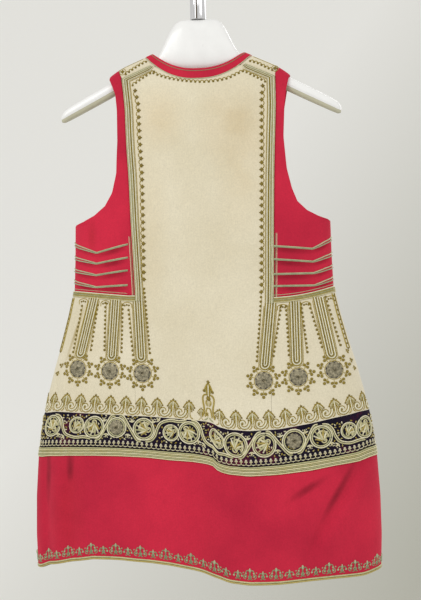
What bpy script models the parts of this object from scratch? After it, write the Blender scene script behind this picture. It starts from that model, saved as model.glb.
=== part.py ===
"""Sleeveless folk jacket hanging on a display hanger, in metres, +Z up.

The origin is the centre of the hanger rod's top end. The jacket's back faces -Y and its open front
faces +Y, and +X is to the right of someone who looks at the back. Every cloth piece is a wall that
follows one surface, the outer face of the worn cloth, which is worked out from horizontal sections.
"""

import math

import bmesh
import bpy

# Driving dimensions of the cut
NECK_X = 0.072
NECK_Z = -0.113
SHOULDER_SLOPE = 0.434
SHOULDER_BEND_X = 0.112
SHOULDER_BEND = 6.4
SHOULDER_TILT = 0.020
SHOULDER_RADIUS = 0.014
SHOULDER_SEAM_DROP = 0.023
SHOULDER_SETTLE = 0.150
BACK_NECK_Z = -0.1395
BACK_NECK_POWER = 2.2
BINDING_WIDTH = 0.012
BINDING_BACK_Z = -0.1565
FRONT_EDGE_X = 0.006
FRONT_NECK_Z = -0.270
FRONT_NECK_POWER = 1.25
UNDERARM_Z = -0.378
WAIST_Z = -0.478
WAIST_BRAID = 0.009
SECTION_POWER = 2.3

# The waist seam's height at the side, and how far it dips from there to the back seam
WAIST_SIDE_Z = -0.4797
WAIST_SIDE_X = 0.203
WAIST_DIP_WIDTH = 0.095
LEFT_WAIST_DIP = 0.0092
RIGHT_WAIST_DIP = 0.0156

# Cloth and trim thicknesses, and the gaps at seams
WOOL = 0.0020
BINDING = 0.0024
BRAID = 0.0030
VELVET_RISE = 0.0004
BRAID_RISE = 0.0010
HEM_CORD_HEIGHT = 0.0055
HEM_CORD_RISE = 0.0008
SEAM = 0.00015
SIDE_GAP = 4.0 * SEAM
WIDE_SEAM = 0.0006
TRIM_CLEARANCE = 0.0006

# Trim on the back
LONG_BRAID_WIDTH = 0.011
LONG_BRAID_START_X = 0.0743
LONG_BRAID_END_LEAN = 0.0049
LONG_BRAID_END_HEIGHT = 0.0035
LONG_BRAID_TURN_X = 0.1175
LONG_BRAID_CORNER_Z = -0.152
LONG_BRAID_DROP = 0.019
LONG_BRAID_HEIGHT = 0.0085
TAB_WIDTH = 0.017
TRIM_EDGE_RISE = 0.0009
BRAID_CROWN = 0.0019
TAB_CROWN = 0.0018
ROSETTE_RADIUS = 0.013
CORD_WIDTH = 0.0036
CORD_CROWN = 0.0022
CORD_EDGE_RISE = 0.0007

# Hanger
ROD_RADIUS = 0.0123
ROD_SEAT_Z = -0.0603
HANGER_SQUARENESS = 0.75

# The fold at the centre back, and the skirt's swells on both sides of it
FOLD_X = 0.013
FOLD_WIDTH = 0.014
FOLD_TOP_Z = -0.560
FOLD_LENGTH = 0.360
FOLD_STATIONS = (-0.015, 0.006, 0.013, 0.020, 0.030, 0.045)
SWELL_COLUMNS = ("x", "width", "even", "crown")
LEFT_SWELL = (-0.045, 0.100, 0.000, -0.010)
RIGHT_SWELL = (0.085, 0.075, 0.008, 0.010)
SWELL_END_X = 0.270
SWELL_FADE = 0.160

# Where the back panel's top edge leaves the neck for the shoulder seam
NECK_CORNER_X = 0.067

# Horizontal sections of the worn cloth
SECTION_COLUMNS = ("z", "half_width", "back_depth", "front_depth", "back_shift")
SECTIONS = (
    (-0.100, 0.200, 0.030, 0.028, 0.000),
    (-0.155, 0.200, 0.034, 0.031, 0.000),
    (-0.200, 0.200, 0.038, 0.034, 0.003),
    (-0.300, 0.200, 0.046, 0.042, 0.005),
    (-0.378, 0.200, 0.052, 0.048, 0.006),
    (-0.430, 0.201, 0.055, 0.052, 0.007),
    (-0.478, 0.203, 0.058, 0.055, 0.008),
    (-0.520, 0.213, 0.063, 0.060, 0.008),
    (-0.560, 0.224, 0.068, 0.065, 0.007),
    (-0.600, 0.236, 0.073, 0.070, 0.006),
    (-0.640, 0.247, 0.077, 0.075, 0.006),
    (-0.680, 0.256, 0.081, 0.079, 0.006),
    (-0.740, 0.265, 0.086, 0.084, 0.006),
    (-0.800, 0.269, 0.090, 0.088, 0.006),
    (-0.860, 0.270, 0.093, 0.091, 0.006),
    (-0.920, 0.268, 0.095, 0.093, 0.006),
)

# Edges of the back armholes, how much further in the front ones are cut, and the red sides' seams
ARMHOLE_COLUMNS = ("z", "left_x", "right_x", "front_inset")
ARMHOLE = (
    (-0.1501, 0.1405, 0.1432, 0.0000),
    (-0.170, 0.1310, 0.1370, 0.0000),
    (-0.200, 0.1275, 0.1335, 0.0020),
    (-0.250, 0.1255, 0.1318, 0.0060),
    (-0.300, 0.1270, 0.1362, 0.0070),
    (-0.330, 0.1340, 0.1435, 0.0070),
    (-0.350, 0.1460, 0.1515, 0.0060),
    (-0.364, 0.1640, 0.1660, 0.0040),
    (-0.373, 0.1840, 0.1840, 0.0010),
    (UNDERARM_Z, 0.2000, 0.2000, 0.0000),
)
SIDE_SEAM_COLUMNS = ("z", "back_x", "front_x")
SIDE_SEAM = (
    (-0.137, 0.1257, 0.1257),
    (-0.150, 0.1198, 0.1198),
    (-0.165, 0.1191, 0.1191),
    (-0.210, 0.1169, 0.1151),
    (-0.260, 0.1145, 0.1105),
    (-0.310, 0.1120, 0.1066),
    (-0.380, 0.1097, 0.1034),
    (-0.490, 0.1060, 0.1000),
    (-0.600, 0.1040, 0.0980),
    (-0.700, 0.1020, 0.0960),
)

# Heights of the rows across the back: the right half hangs lower than the left
ROW_COLUMNS = ("x", "band_top", "band_foot", "braid_foot", "hem")
ROWS = (
    (-0.270, -0.6665, -0.7215, -0.7370, -0.9085),
    (-0.240, -0.6665, -0.7212, -0.7350, -0.9020),
    (-0.205, -0.6668, -0.7193, -0.7326, -0.8938),
    (-0.165, -0.6680, -0.7184, -0.7313, -0.8870),
    (-0.120, -0.6700, -0.7190, -0.7315, -0.8876),
    (-0.080, -0.6718, -0.7215, -0.7333, -0.8908),
    (-0.045, -0.6745, -0.7246, -0.7373, -0.8950),
    (-0.010, -0.6775, -0.7272, -0.7397, -0.9008),
    (0.012, -0.6797, -0.7300, -0.7423, -0.9050),
    (0.021, -0.6820, -0.7320, -0.7443, -0.9070),
    (0.030, -0.6873, -0.7405, -0.7525, -0.9090),
    (0.045, -0.6912, -0.7442, -0.7566, -0.9140),
    (0.075, -0.6937, -0.7465, -0.7597, -0.9177),
    (0.120, -0.6918, -0.7443, -0.7580, -0.9172),
    (0.165, -0.6850, -0.7395, -0.7540, -0.9155),
    (0.200, -0.6780, -0.7350, -0.7484, -0.9150),
    (0.235, -0.6722, -0.7300, -0.7444, -0.9152),
    (0.262, -0.6690, -0.7250, -0.7400, -0.9148),
    (0.270, -0.6680, -0.7240, -0.7390, -0.9140),
)
FRONT_ROWS = dict(band_top=-0.6700, band_foot=-0.7240, braid_foot=-0.7385, hem=-0.9110)

# Piping cords: places of the back seam, the middle of the red panel and the side, and heights there
LEFT_CORD_X = (0.110, 0.160, 0.203)
RIGHT_CORD_X = (0.110, 0.173, 0.203)
CORD_COLUMNS = ("seam_z", "middle_z", "side_z")
LEFT_CORDS = (
    (-0.4103, -0.4222, -0.4047),
    (-0.4307, -0.4387, -0.4262),
    (-0.4503, -0.4566, -0.4458),
    (-0.4729, -0.4751, -0.4638),
)
RIGHT_CORDS = (
    (-0.4178, -0.4230, -0.4055),
    (-0.4378, -0.4426, -0.4295),
    (-0.4608, -0.4601, -0.4485),
    (-0.4788, -0.4787, -0.4665),
)

# Tabs and rosettes, counted from the side seam towards the centre back
TAB_COLUMNS = ("top_x", "foot_x", "foot_left_z", "foot_right_z", "rosette_x", "rosette_left_z", "rosette_right_z")
TABS = (
    (0.1720, 0.1935, -0.5845, -0.5910, 0.1960, -0.6005, -0.6066),
    (0.1370, 0.1410, -0.5885, -0.5995, 0.1430, -0.6036, -0.6156),
    (0.1010, 0.0935, -0.5910, -0.6045, 0.0915, -0.6070, -0.6200),
)

# Hanger body: sections along its length
HANGER_COLUMNS = ("x", "top_z", "foot_z", "half_depth")
HANGER = (
    (0.000, -0.0606, -0.1400, 0.0145),
    (0.020, -0.0606, -0.1400, 0.0145),
    (0.029, -0.0622, -0.1395, 0.0140),
    (0.037, -0.0680, -0.1385, 0.0132),
    (0.045, -0.0800, -0.1375, 0.0124),
    (0.053, -0.0970, -0.1370, 0.0115),
    (0.063, -0.1143, -0.1390, 0.0105),
    (0.075, -0.1199, -0.1450, 0.0100),
    (0.100, -0.1325, -0.1575, 0.0100),
    (0.145, -0.1578, -0.1805, 0.0098),
    (0.180, -0.1760, -0.1980, 0.0094),
    (0.206, -0.1905, -0.2105, 0.0088),
    (0.2145, -0.1965, -0.2140, 0.0074),
    (0.2185, -0.2015, -0.2135, 0.0050),
)

COLOURS = {
    "cream_wool": ((0.74, 0.67, 0.51), 0.85, 0.0),
    "red_wool": ((0.56, 0.025, 0.055), 0.85, 0.0),
    "velvet": ((0.020, 0.010, 0.030), 0.90, 0.0),
    "gold_braid": ((0.36, 0.30, 0.13), 0.50, 0.6),
    "silver_cord": ((0.40, 0.42, 0.30), 0.50, 0.5),
    "metal_disc": ((0.22, 0.21, 0.19), 0.45, 0.8),
    "white_plastic": ((0.86, 0.86, 0.84), 0.30, 0.0),
    "chrome": ((0.75, 0.75, 0.76), 0.12, 1.0),
}


def clear_scene():
    for obj in list(bpy.data.objects):
        bpy.data.objects.remove(obj, do_unlink=True)


def mix(a, b, t):
    return a + (b - a) * t


def smooth(t):
    t = min(max(t, 0.0), 1.0)
    return t * t * (3.0 - 2.0 * t)


def bell(t):
    return math.exp(-t * t)


def look_up(rows, key):
    """The other columns of a table, read at key in its first column, which runs up or down."""
    ordered = sorted(rows)
    if key <= ordered[0][0]:
        return ordered[0][1:]
    for low, high in zip(ordered, ordered[1:]):
        if key <= high[0]:
            t = (key - low[0]) / (high[0] - low[0])
            return tuple(mix(p, q, t) for p, q in zip(low[1:], high[1:]))
    return ordered[-1][1:]


def crest(x):
    """Height of the shoulder line, which steepens outwards and lies lower on the right."""
    fall = SHOULDER_SLOPE * (abs(x) - NECK_X) + SHOULDER_BEND * max(abs(x) - SHOULDER_BEND_X, 0.0) ** 2
    return NECK_Z - fall - SHOULDER_TILT * x


def half_width(z):
    return look_up(SECTIONS, z)[0]


def back_shift(z):
    return look_up(SECTIONS, z)[3]


def swell_of(row, x):
    place, width, even, crown = row
    return even + crown * bell((x - place) / width)


def swell(x, z):
    """The skirt's large folds: the right half of the back stands out from the centre fold, the left sinks."""
    step = 0.5 * (1.0 + math.tanh((x - FOLD_X) / FOLD_WIDTH))
    right = step * swell_of(RIGHT_SWELL, x) * smooth((SWELL_END_X - x) / SWELL_FADE)
    left = (1.0 - step) * swell_of(LEFT_SWELL, x)
    return smooth((FOLD_TOP_Z - z) / FOLD_LENGTH) * (right + left)


def depth(x, z, side):
    """Distance of the cloth's outer face from the plane Y = 0; side is -1 on the back and 1 in front."""
    half, back, front, _ = look_up(SECTIONS, z)
    across = min(abs(x) / half, 1.0)
    section = (back if side < 0 else front) * (1.0 - across**SECTION_POWER) ** (1.0 / SECTION_POWER)
    drop = max(crest(x) - z, 0.0)
    turn = 1.0 - min(drop / SHOULDER_RADIUS, 1.0)
    arch = SHOULDER_RADIUS * math.sqrt(1.0 - turn * turn)
    fold = swell(x, z) * (1.0 - across**4) if side < 0 else 0.0
    return arch + (section - SHOULDER_RADIUS) * smooth(drop / SHOULDER_SETTLE) + fold


def cloth(x, z, side):
    """Point on the outer face and the direction that points out of it."""
    step = 1e-5
    half = half_width(z)
    low_x = max(x - step, -half)
    high_x = min(x + step, half)
    high_z = min(z + step, crest(x))
    low_z = high_z - 2.0 * step
    slope_x = (depth(high_x, z, side) - depth(low_x, z, side)) / (high_x - low_x)
    slope_z = (depth(x, high_z, side) - depth(x, low_z, side)) / (high_z - low_z)
    out = (-slope_x, side, -slope_z)
    size = math.sqrt(sum(c * c for c in out))
    return (x, side * depth(x, z, side), z), tuple(c / size for c in out)


def turn_of(x, z):
    """Where x lies round the section: 0 at the centre back or front, 0.5 at the side seam."""
    across = min(abs(x) / half_width(z), 1.0)
    return math.copysign(math.asin(across) / math.pi, x)


def x_of(turn, z):
    return half_width(z) * math.sin(math.pi * turn)


def row_height(name, x, side):
    """Height of a row of the skirt, which is level in front and follows the folds on the back."""
    if side > 0:
        return FRONT_ROWS[name]
    level = look_up(ROWS, x)[ROW_COLUMNS.index(name) - 1]
    near_side = smooth((half_width(level) - abs(x)) / 0.03)
    return mix(FRONT_ROWS[name], level, near_side)


def waist_height(x):
    """Lower edge of the red sides, which dips towards the back seam, more so on the right."""
    t = min(max((WAIST_SIDE_X - abs(x)) / WAIST_DIP_WIDTH, 0.0), 1.0)
    if x < 0.0:
        return WAIST_SIDE_Z - LEFT_WAIST_DIP * t
    return WAIST_SIDE_Z - RIGHT_WAIST_DIP * (1.0 - (1.0 - t) ** 2)


def neck_high(x):
    """Upper edge of the binding across the back neck."""
    rise = crest(math.copysign(NECK_X, x)) - BACK_NECK_Z
    return BACK_NECK_Z + rise * (abs(x) / NECK_X) ** BACK_NECK_POWER


def binding_rise(sign):
    """How far the binding's lower edge climbs from the centre back to the shoulder."""
    return crest(sign * (NECK_X + BINDING_WIDTH)) - BINDING_BACK_Z


def neck_low(x):
    """Lower edge of the binding across the back neck, where the cream starts."""
    share = abs(x) / (NECK_X + BINDING_WIDTH)
    return BINDING_BACK_Z + binding_rise(math.copysign(1.0, x)) * share**BACK_NECK_POWER


def neck_low_x(z, sign):
    """The inverse of neck_low, as a distance from the middle on the left (-1) or right (1)."""
    share = max(z - BINDING_BACK_Z, 0.0) / binding_rise(sign)
    return (NECK_X + BINDING_WIDTH) * share ** (1.0 / BACK_NECK_POWER)


def front_edge(z, sign, inset=0.0):
    """Distance from the middle of the front opening's edge, or of the piece that starts at inset from it."""
    start_z = crest(sign * (NECK_X + inset))
    end_z = FRONT_NECK_Z - inset
    fall = min(max((z - end_z) / (start_z - end_z), 0.0), 1.0)
    return FRONT_EDGE_X + inset + (NECK_X - FRONT_EDGE_X) * fall**FRONT_NECK_POWER


def side_seam(z, side=-1):
    """Distance of the red side's seam from the middle, on the back or in front."""
    back_x, front_x = look_up(SIDE_SEAM, z)
    return back_x if side < 0 else front_x


def armhole_x(z, sign, side):
    """Place of the armhole's edge on the left (-1) or right (1), on the back (-1) or in front (1)."""
    left_x, right_x, front_inset = look_up(ARMHOLE, z)
    edge = left_x if sign < 0 else right_x
    return sign * (edge - (front_inset if side > 0 else 0.0))


def material(name):
    found = bpy.data.materials.get(name)
    if found:
        return found
    colour, roughness, metallic = COLOURS[name]
    made = bpy.data.materials.new(name)
    made.use_nodes = True
    shader = made.node_tree.nodes["Principled BSDF"]
    shader.inputs["Base Color"].default_value = (*colour, 1.0)
    shader.inputs["Roughness"].default_value = roughness
    shader.inputs["Metallic"].default_value = metallic
    return made


def add_mesh(name, points, faces, finish):
    mesh = bpy.data.meshes.new(name)
    mesh.from_pydata(points, [], faces)
    work = bmesh.new()
    work.from_mesh(mesh)
    bmesh.ops.recalc_face_normals(work, faces=work.faces)
    work.to_mesh(mesh)
    work.free()
    mesh.materials.append(material(finish))
    mesh.shade_smooth()
    mesh.set_sharp_from_angle(angle=math.radians(40))
    obj = bpy.data.objects.new(name, mesh)
    bpy.context.scene.collection.objects.link(obj)
    return obj


def lifted(spot, lift):
    point, out = spot
    return tuple(p + lift * n for p, n in zip(point, out))


def wall(name, rows, finish, inner, outer):
    """Closed wall through rows of spots; inner and outer are lifts, and outer may differ by column."""
    count = len(rows[0])
    lifts = outer if isinstance(outer, (list, tuple)) else [outer] * count
    points = [lifted(spot, lift) for row in rows for spot, lift in zip(row, lifts)]
    points += [lifted(spot, inner) for row in rows for spot in row]
    half = len(rows) * count
    faces = []
    for r in range(len(rows) - 1):
        for c in range(count - 1):
            a = r * count + c
            quad = (a, a + 1, a + count + 1, a + count)
            faces.append(quad)
            faces.append(tuple(half + i for i in reversed(quad)))
    rim = [c for c in range(count)]
    rim += [r * count + count - 1 for r in range(1, len(rows))]
    rim += [(len(rows) - 1) * count + c for c in range(count - 2, -1, -1)]
    rim += [r * count for r in range(len(rows) - 2, 0, -1)]
    for a, b in zip(rim, rim[1:] + rim[:1]):
        faces.append((b, a, half + a, half + b))
    return add_mesh(name, points, faces, finish)


def spread(count, bias=0.0):
    """Fractions from 0 to 1; a bias draws them towards both ends."""
    steps = [i / (count - 1) for i in range(count)]
    return [mix(t, 0.5 - 0.5 * math.cos(math.pi * t), bias) for t in steps]


def arc_drops(count):
    """Drops below the crest that step evenly round the shoulder, from the crest seam to its foot."""
    first = 1.4 * SEAM / SHOULDER_RADIUS
    angles = [mix(first, math.pi / 2.0, i / (count - 1)) for i in range(count)]
    return [SHOULDER_RADIUS * (1.0 - math.cos(angle)) for angle in angles]


def settle(left_turn, right_turn, height, across, side):
    """Spot at a share across a row whose height depends on x, found by a few rounds of both."""
    z = WAIST_Z
    for _ in range(12):
        x = x_of(mix(left_turn(z), right_turn(z), across), z)
        z = height(x)
    x = x_of(mix(left_turn(z), right_turn(z), across), z)
    return cloth(x, z, side)


def back_turns(z):
    """Columns of the rows across the back: even steps round the section, and the centre fold's own."""
    even = [t - 0.5 for t in spread(27)]
    return sorted(even + [turn_of(x, z) for x in FOLD_STATIONS])


def make_back_panel():

    def foot(x):
        return row_height("band_top", x, -1) + WIDE_SEAM

    def top(x):
        return min(neck_low(x) - 2.0 * WIDE_SEAM, crest(x) - SHOULDER_SEAM_DROP - WIDE_SEAM)

    def left(z):
        return turn_of(-side_seam(z) + back_shift(z) + SEAM, z)

    def right(z):
        return turn_of(side_seam(z) + back_shift(z) - SEAM, z)

    def share(turn, z):
        return (turn - left(z)) / (right(z) - left(z))

    foot_z = FRONT_ROWS["band_top"]
    corner_z = top(NECK_CORNER_X)
    columns = [share(turn, foot_z) for turn in back_turns(foot_z)]
    columns += [share(turn_of(x, corner_z), corner_z) for x in (-NECK_CORNER_X, NECK_CORNER_X)]
    columns = [0.0] + sorted(s for s in columns if 0.02 < s < 0.98) + [1.0]
    rows = []
    for t in spread(21):
        rows.append(
            [settle(left, right, lambda x, t=t: mix(foot(x), top(x), t), s, -1) for s in columns]
        )
    wall("back_panel", rows, "cream_wool", -WOOL, 0.0)


def make_front(name, sign):
    """A front runs from the band up over the shoulder to its seam on the back."""

    def inner(z):
        return turn_of(sign * (front_edge(z, sign, BINDING_WIDTH) + WIDE_SEAM), z)

    def inner_back(z):
        return turn_of(sign * (neck_low_x(z, sign) + WIDE_SEAM), z)

    def outer(z):
        return turn_of(sign * (side_seam(z, 1) - SEAM), z)

    def foot(x):
        return FRONT_ROWS["band_top"] + SEAM

    def chest(x):
        return crest(x) - SHOULDER_RADIUS

    def line(edge, height, side):
        return [settle(edge, outer, height, s, side) for s in spread(7)]

    rows = [line(inner, lambda x, t=t: mix(foot(x), chest(x), t), 1) for t in spread(15)]
    drops = arc_drops(4)
    rows += [line(inner, lambda x, d=d: crest(x) - d, 1) for d in reversed(drops[:-1])]
    drops.append(SHOULDER_SEAM_DROP)
    rows += [line(inner_back, lambda x, d=d: crest(x) - d, -1) for d in drops[1:]]
    wall(name, rows, "cream_wool", -WOOL, 0.0)


def side_turns(sign, side, inset):
    """Functions for the seam and the side as turns; on the back the seam shifts with the panel."""

    def seam(z):
        shift = back_shift(z) if side < 0 else 0.0
        return turn_of(sign * (side_seam(z, side) + inset) + shift, z)

    def edge(z):
        return sign * (0.5 - SIDE_GAP)

    return seam, edge


def make_side(name, sign, side):
    """A red side: from the waist to the underarm, and the strip that edges the armhole up to the crest."""
    seam, edge = side_turns(sign, side, SEAM)

    def armhole(z):
        if z <= UNDERARM_Z:
            return edge(z)
        return turn_of(armhole_x(z, sign, side), z)

    rows = []
    heights = [lambda x: waist_height(x) + WIDE_SEAM]
    heights += [lambda x, z=z: z for z in (-0.474, -0.450, -0.426, -0.402)]
    heights += [lambda x, z=z: z for z in (UNDERARM_Z, -0.373, -0.364, -0.350, -0.330, -0.300)]
    heights += [lambda x, z=z: z for z in (-0.250, -0.200, -0.172)]
    heights += [lambda x, d=d: crest(x) - d for d in reversed(arc_drops(4))]
    for height in heights:
        rows.append([settle(seam, armhole, height, s, side) for s in spread(7)])
    wall(name, rows, "red_wool", -WOOL, 0.0)


def make_skirt_side(name, sign, side):
    seam, edge = side_turns(sign, side, SEAM)

    def top(x):
        return waist_height(x) - WAIST_BRAID - SEAM

    def foot(x):
        return row_height("band_top", x, side) + SEAM

    rows = []
    for t in spread(9):
        rows.append(
            [settle(seam, edge, lambda x, t=t: mix(foot(x), top(x), t), s, side) for s in spread(9)]
        )
    wall(name, rows, "cream_wool", -WOOL, 0.0)


def make_waist_braid(name, sign):
    """The corded braid that covers the waist seam, from the back seam round the side to the front seam."""
    rows = []
    back_seam, edge = side_turns(sign, -1, SEAM)
    front_seam, _ = side_turns(sign, 1, SEAM)
    for drop in (SEAM, WAIST_BRAID / 2.0, WAIST_BRAID - SEAM):
        height = lambda x, d=drop: waist_height(x) - d
        back = [settle(back_seam, edge, height, s, -1) for s in spread(9)]
        front = [settle(front_seam, edge, height, s, 1) for s in spread(9)]
        rows.append(back + front[::-1])
    wall(name, rows, "gold_braid", -WOOL, BRAID - WOOL)


def make_ring_piece(name, finish, top_name, foot_name, part, count, rise, lift_foot=0.0, high=None):
    """A stretch of a row round the skirt: part is 'back', or -1 or 1 for a front half."""
    side = -1 if part == "back" else 1
    sign = 0 if part == "back" else part

    def left(z):
        return SIDE_GAP - 0.5 if sign == 0 else sign * (0.5 - SIDE_GAP)

    def right(z):
        return 0.5 - SIDE_GAP if sign == 0 else turn_of(sign * FRONT_EDGE_X, z)

    def foot(x):
        return row_height(foot_name, x, side) + lift_foot + SEAM

    def top(x):
        if high is None:
            return row_height(top_name, x, side) - SEAM
        return row_height(foot_name, x, side) + high - SEAM

    if sign == 0:
        columns = [turn + 0.5 for turn in back_turns(FRONT_ROWS[foot_name])]
    else:
        columns = spread(13)
    rows = []
    for t in spread(count):
        rows.append(
            [settle(left, right, lambda x, t=t: mix(foot(x), top(x), t), s, side) for s in columns]
        )
    wall(name, rows, finish, -WOOL - (rise if high else 0.0), rise)


def make_skirt_rows():
    for label, part in (("back", "back"), ("front_left", -1), ("front_right", 1)):
        make_ring_piece(f"velvet_band_{label}", "velvet", "band_top", "band_foot", part, 3, VELVET_RISE)
        make_ring_piece(f"gold_braid_{label}", "gold_braid", "band_foot", "braid_foot", part, 2, BRAID_RISE)
        make_ring_piece(f"flounce_{label}", "red_wool", "braid_foot", "hem", part, 6, 0.0, HEM_CORD_HEIGHT)
        make_ring_piece(
            f"hem_cord_{label}", "silver_cord", "hem", "hem", part, 2, HEM_CORD_RISE, high=HEM_CORD_HEIGHT
        )


def make_bindings():
    """Red binding round the neck and down the front edges."""
    ends = (1.0, 0.994, 0.975, 0.945, 0.90, 0.84, 0.74, 0.56, 0.30)
    shares = [-s for s in ends] + [0.0] + [s for s in reversed(ends)]
    low_x = NECK_X + BINDING_WIDTH
    rows = []
    for across in (0.0, 0.5, 1.0):
        row = []
        for share in shares:
            share *= 1.0 - 0.0002 / NECK_X
            x = share * mix(NECK_X, low_x, across)
            z = mix(neck_high(share * NECK_X), neck_low(share * low_x), across)
            row.append(cloth(x, min(z, crest(x)), -1))
        rows.append(row)
    wall("binding_back", rows, "red_wool", -BINDING, 0.0)
    steps = (0.0, 0.004, 0.016, 0.035, 0.06, 0.10, 0.16, 0.26, 0.38, 0.52, 0.68, 0.84, 1.0)
    for name, sign in (("binding_front_left", -1), ("binding_front_right", 1)):
        rows = []
        for across in (0.0, 0.5, 1.0):
            inset = across * BINDING_WIDTH
            start_z = crest(sign * (NECK_X + inset))
            end_z = FRONT_NECK_Z - inset
            heights = [mix(start_z, end_z, t) for t in steps]
            foot_z = FRONT_ROWS["band_top"] + SEAM
            heights += [mix(end_z, foot_z, t) for t in spread(9)[1:]]
            row = []
            for z in heights:
                x = sign * front_edge(z, sign, inset)
                row.append(cloth(x, min(z, crest(x) - 2e-6), 1))
            rows.append(row)
        wall(name, rows, "red_wool", -BINDING, 0.0)


def make_long_braid(name, sign):
    """Braid under the shoulder seam, round a square corner and down the side seam to the waist."""
    width = LONG_BRAID_WIDTH

    def line(x):
        return crest(sign * x) - LONG_BRAID_DROP

    start_x, start_z = LONG_BRAID_START_X, line(LONG_BRAID_START_X)
    pairs = [((start_x, start_z), (start_x - LONG_BRAID_END_LEAN, start_z - LONG_BRAID_END_HEIGHT))]
    for t in (0.25, 0.50, 0.75):
        x = mix(start_x, LONG_BRAID_TURN_X, t)
        low_x = x - width * t * t
        pairs.append(((x, line(x)), (low_x, line(low_x) - LONG_BRAID_HEIGHT)))
    corner_x = side_seam(LONG_BRAID_CORNER_Z) - 2.0 * SEAM
    inner_z = line(corner_x - width) - LONG_BRAID_HEIGHT
    pairs.append(((corner_x, line(corner_x)), (corner_x - width, inner_z)))
    foot_z = waist_height(sign * side_seam(WAIST_Z)) - WAIST_BRAID
    for t in spread(17)[1:]:
        z = mix(inner_z, foot_z, t)
        x = side_seam(z) - 2.0 * SEAM
        pairs.append(((x, z), (x - width, z)))
    rows = []
    for pair in pairs:
        row = []
        for t in (0.0, 0.5, 1.0):
            x = mix(pair[0][0], pair[1][0], t)
            z = mix(pair[0][1], pair[1][1], t)
            row.append(cloth(sign * x + back_shift(z), z, -1))
        rows.append(row)
    low, high = TRIM_CLEARANCE + TRIM_EDGE_RISE, TRIM_CLEARANCE + BRAID_CROWN
    wall(name, rows, "gold_braid", TRIM_CLEARANCE, [low, high, low])


def make_tab(name, sign, top_x, foot_x, foot_z):
    """A corded tongue that hangs from the waist braid and ends round."""
    radius = TAB_WIDTH / 2.0
    middle = sign * top_x + back_shift(WAIST_Z)
    edges = (middle - radius, middle + radius)
    top_z = min(waist_height(x) for x in edges) - WAIST_BRAID - 2.0 * WIDE_SEAM
    stations = [(mix(top_z, foot_z + radius, t), radius) for t in spread(6)]
    for angle in (0.55, 1.05, 1.35):
        stations.append((foot_z + radius * (1.0 - math.sin(angle)), radius * math.cos(angle)))
    rows = []
    for z, half in stations:
        middle = mix(top_x, foot_x, (z - top_z) / (foot_z - top_z))
        row = []
        for t in (-1.0, -0.4, 0.4, 1.0):
            row.append(cloth(sign * (middle + t * half) + back_shift(z), z, -1))
        rows.append(row)
    low, high = TRIM_CLEARANCE + TRIM_EDGE_RISE, TRIM_CLEARANCE + TAB_CROWN
    wall(name, rows, "gold_braid", TRIM_CLEARANCE, [low, high, high, low])


def make_rosette(name, x, z):
    """A domed disc that lies on the cloth."""
    sides = 12
    rings = ((1.0, 0.0010), (0.72, 0.0020), (0.30, 0.0026))
    points, faces = [], []
    for share, lift in rings:
        for i in range(sides):
            angle = 2.0 * math.pi * i / sides
            reach = share * ROSETTE_RADIUS
            spot = cloth(x + reach * math.cos(angle), z + reach * math.sin(angle), -1)
            points.append(lifted(spot, TRIM_CLEARANCE + lift))
    for i in range(sides):
        angle = 2.0 * math.pi * i / sides
        spot = cloth(x + ROSETTE_RADIUS * math.cos(angle), z + ROSETTE_RADIUS * math.sin(angle), -1)
        points.append(lifted(spot, TRIM_CLEARANCE))
    points.append(lifted(cloth(x, z, -1), TRIM_CLEARANCE + 0.0028))
    points.append(lifted(cloth(x, z, -1), TRIM_CLEARANCE))
    crown, base = len(points) - 2, len(points) - 1
    for i in range(sides):
        k = (i + 1) % sides
        for ring in (0, 1):
            low, high = ring * sides, (ring + 1) * sides
            faces.append((low + i, low + k, high + k, high + i))
        faces.append((2 * sides + i, 2 * sides + k, crown))
        faces.append((3 * sides + k, 3 * sides + i, base))
        faces.append((3 * sides + i, 3 * sides + k, k, i))
    add_mesh(name, points, faces, "metal_disc")


def cord_height(heights, turn, sign):
    """Height of a piping cord at a turn; it dips in the middle of the red panel."""
    seam_z, middle_z, side_z = heights
    seam_x, middle_x, side_x = LEFT_CORD_X if sign < 0 else RIGHT_CORD_X
    x = abs(x_of(turn, WAIST_Z))
    if x < middle_x:
        return mix(seam_z, middle_z, smooth((x - seam_x) / (middle_x - seam_x)))
    return mix(middle_z, side_z, (x - middle_x) / (side_x - middle_x))


def make_piping(name, sign, heights):
    """A cord across the red side, from the braid round the side to the front seam."""
    back_seam, edge = side_turns(sign, -1, 3.0 * SEAM)
    front_seam, _ = side_turns(sign, 1, 3.0 * SEAM)
    rows = []
    for offset in (-0.5, 0.0, 0.5):
        row = []
        for seam, side in ((back_seam, -1), (front_seam, 1)):
            start = seam(heights[0])
            turns = [mix(start, edge(WAIST_Z), s) for s in spread(7)]
            line = []
            for turn in turns:
                z = cord_height(heights, turn, sign) + offset * CORD_WIDTH
                line.append(cloth(x_of(turn, z), z, side))
            row += line if side < 0 else line[::-1]
        rows.append(row)
    low = TRIM_CLEARANCE * 0.8
    outer = [low + CORD_EDGE_RISE, low + CORD_CROWN, low + CORD_EDGE_RISE]
    flipped = [[row[c] for row in rows] for c in range(len(rows[0]))]
    wall(name, flipped, "silver_cord", low, outer)


def hanger_ring(x, top_z, foot_z, half_depth, sides=12):
    """Rounded section of the hanger, squarer than an ellipse, at x."""
    middle = 0.5 * (top_z + foot_z)
    half_height = 0.5 * (top_z - foot_z)
    widest = math.cos(math.pi / sides)
    ring = []
    for i in range(sides):
        angle = 2.0 * math.pi * (i + 0.5) / sides
        c, s = math.cos(angle) / widest, math.sin(angle) / widest
        y = half_depth * math.copysign(abs(c) ** HANGER_SQUARENESS, c)
        z = middle + half_height * math.copysign(abs(s) ** HANGER_SQUARENESS, s)
        ring.append((x, y, z))
    return ring


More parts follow.
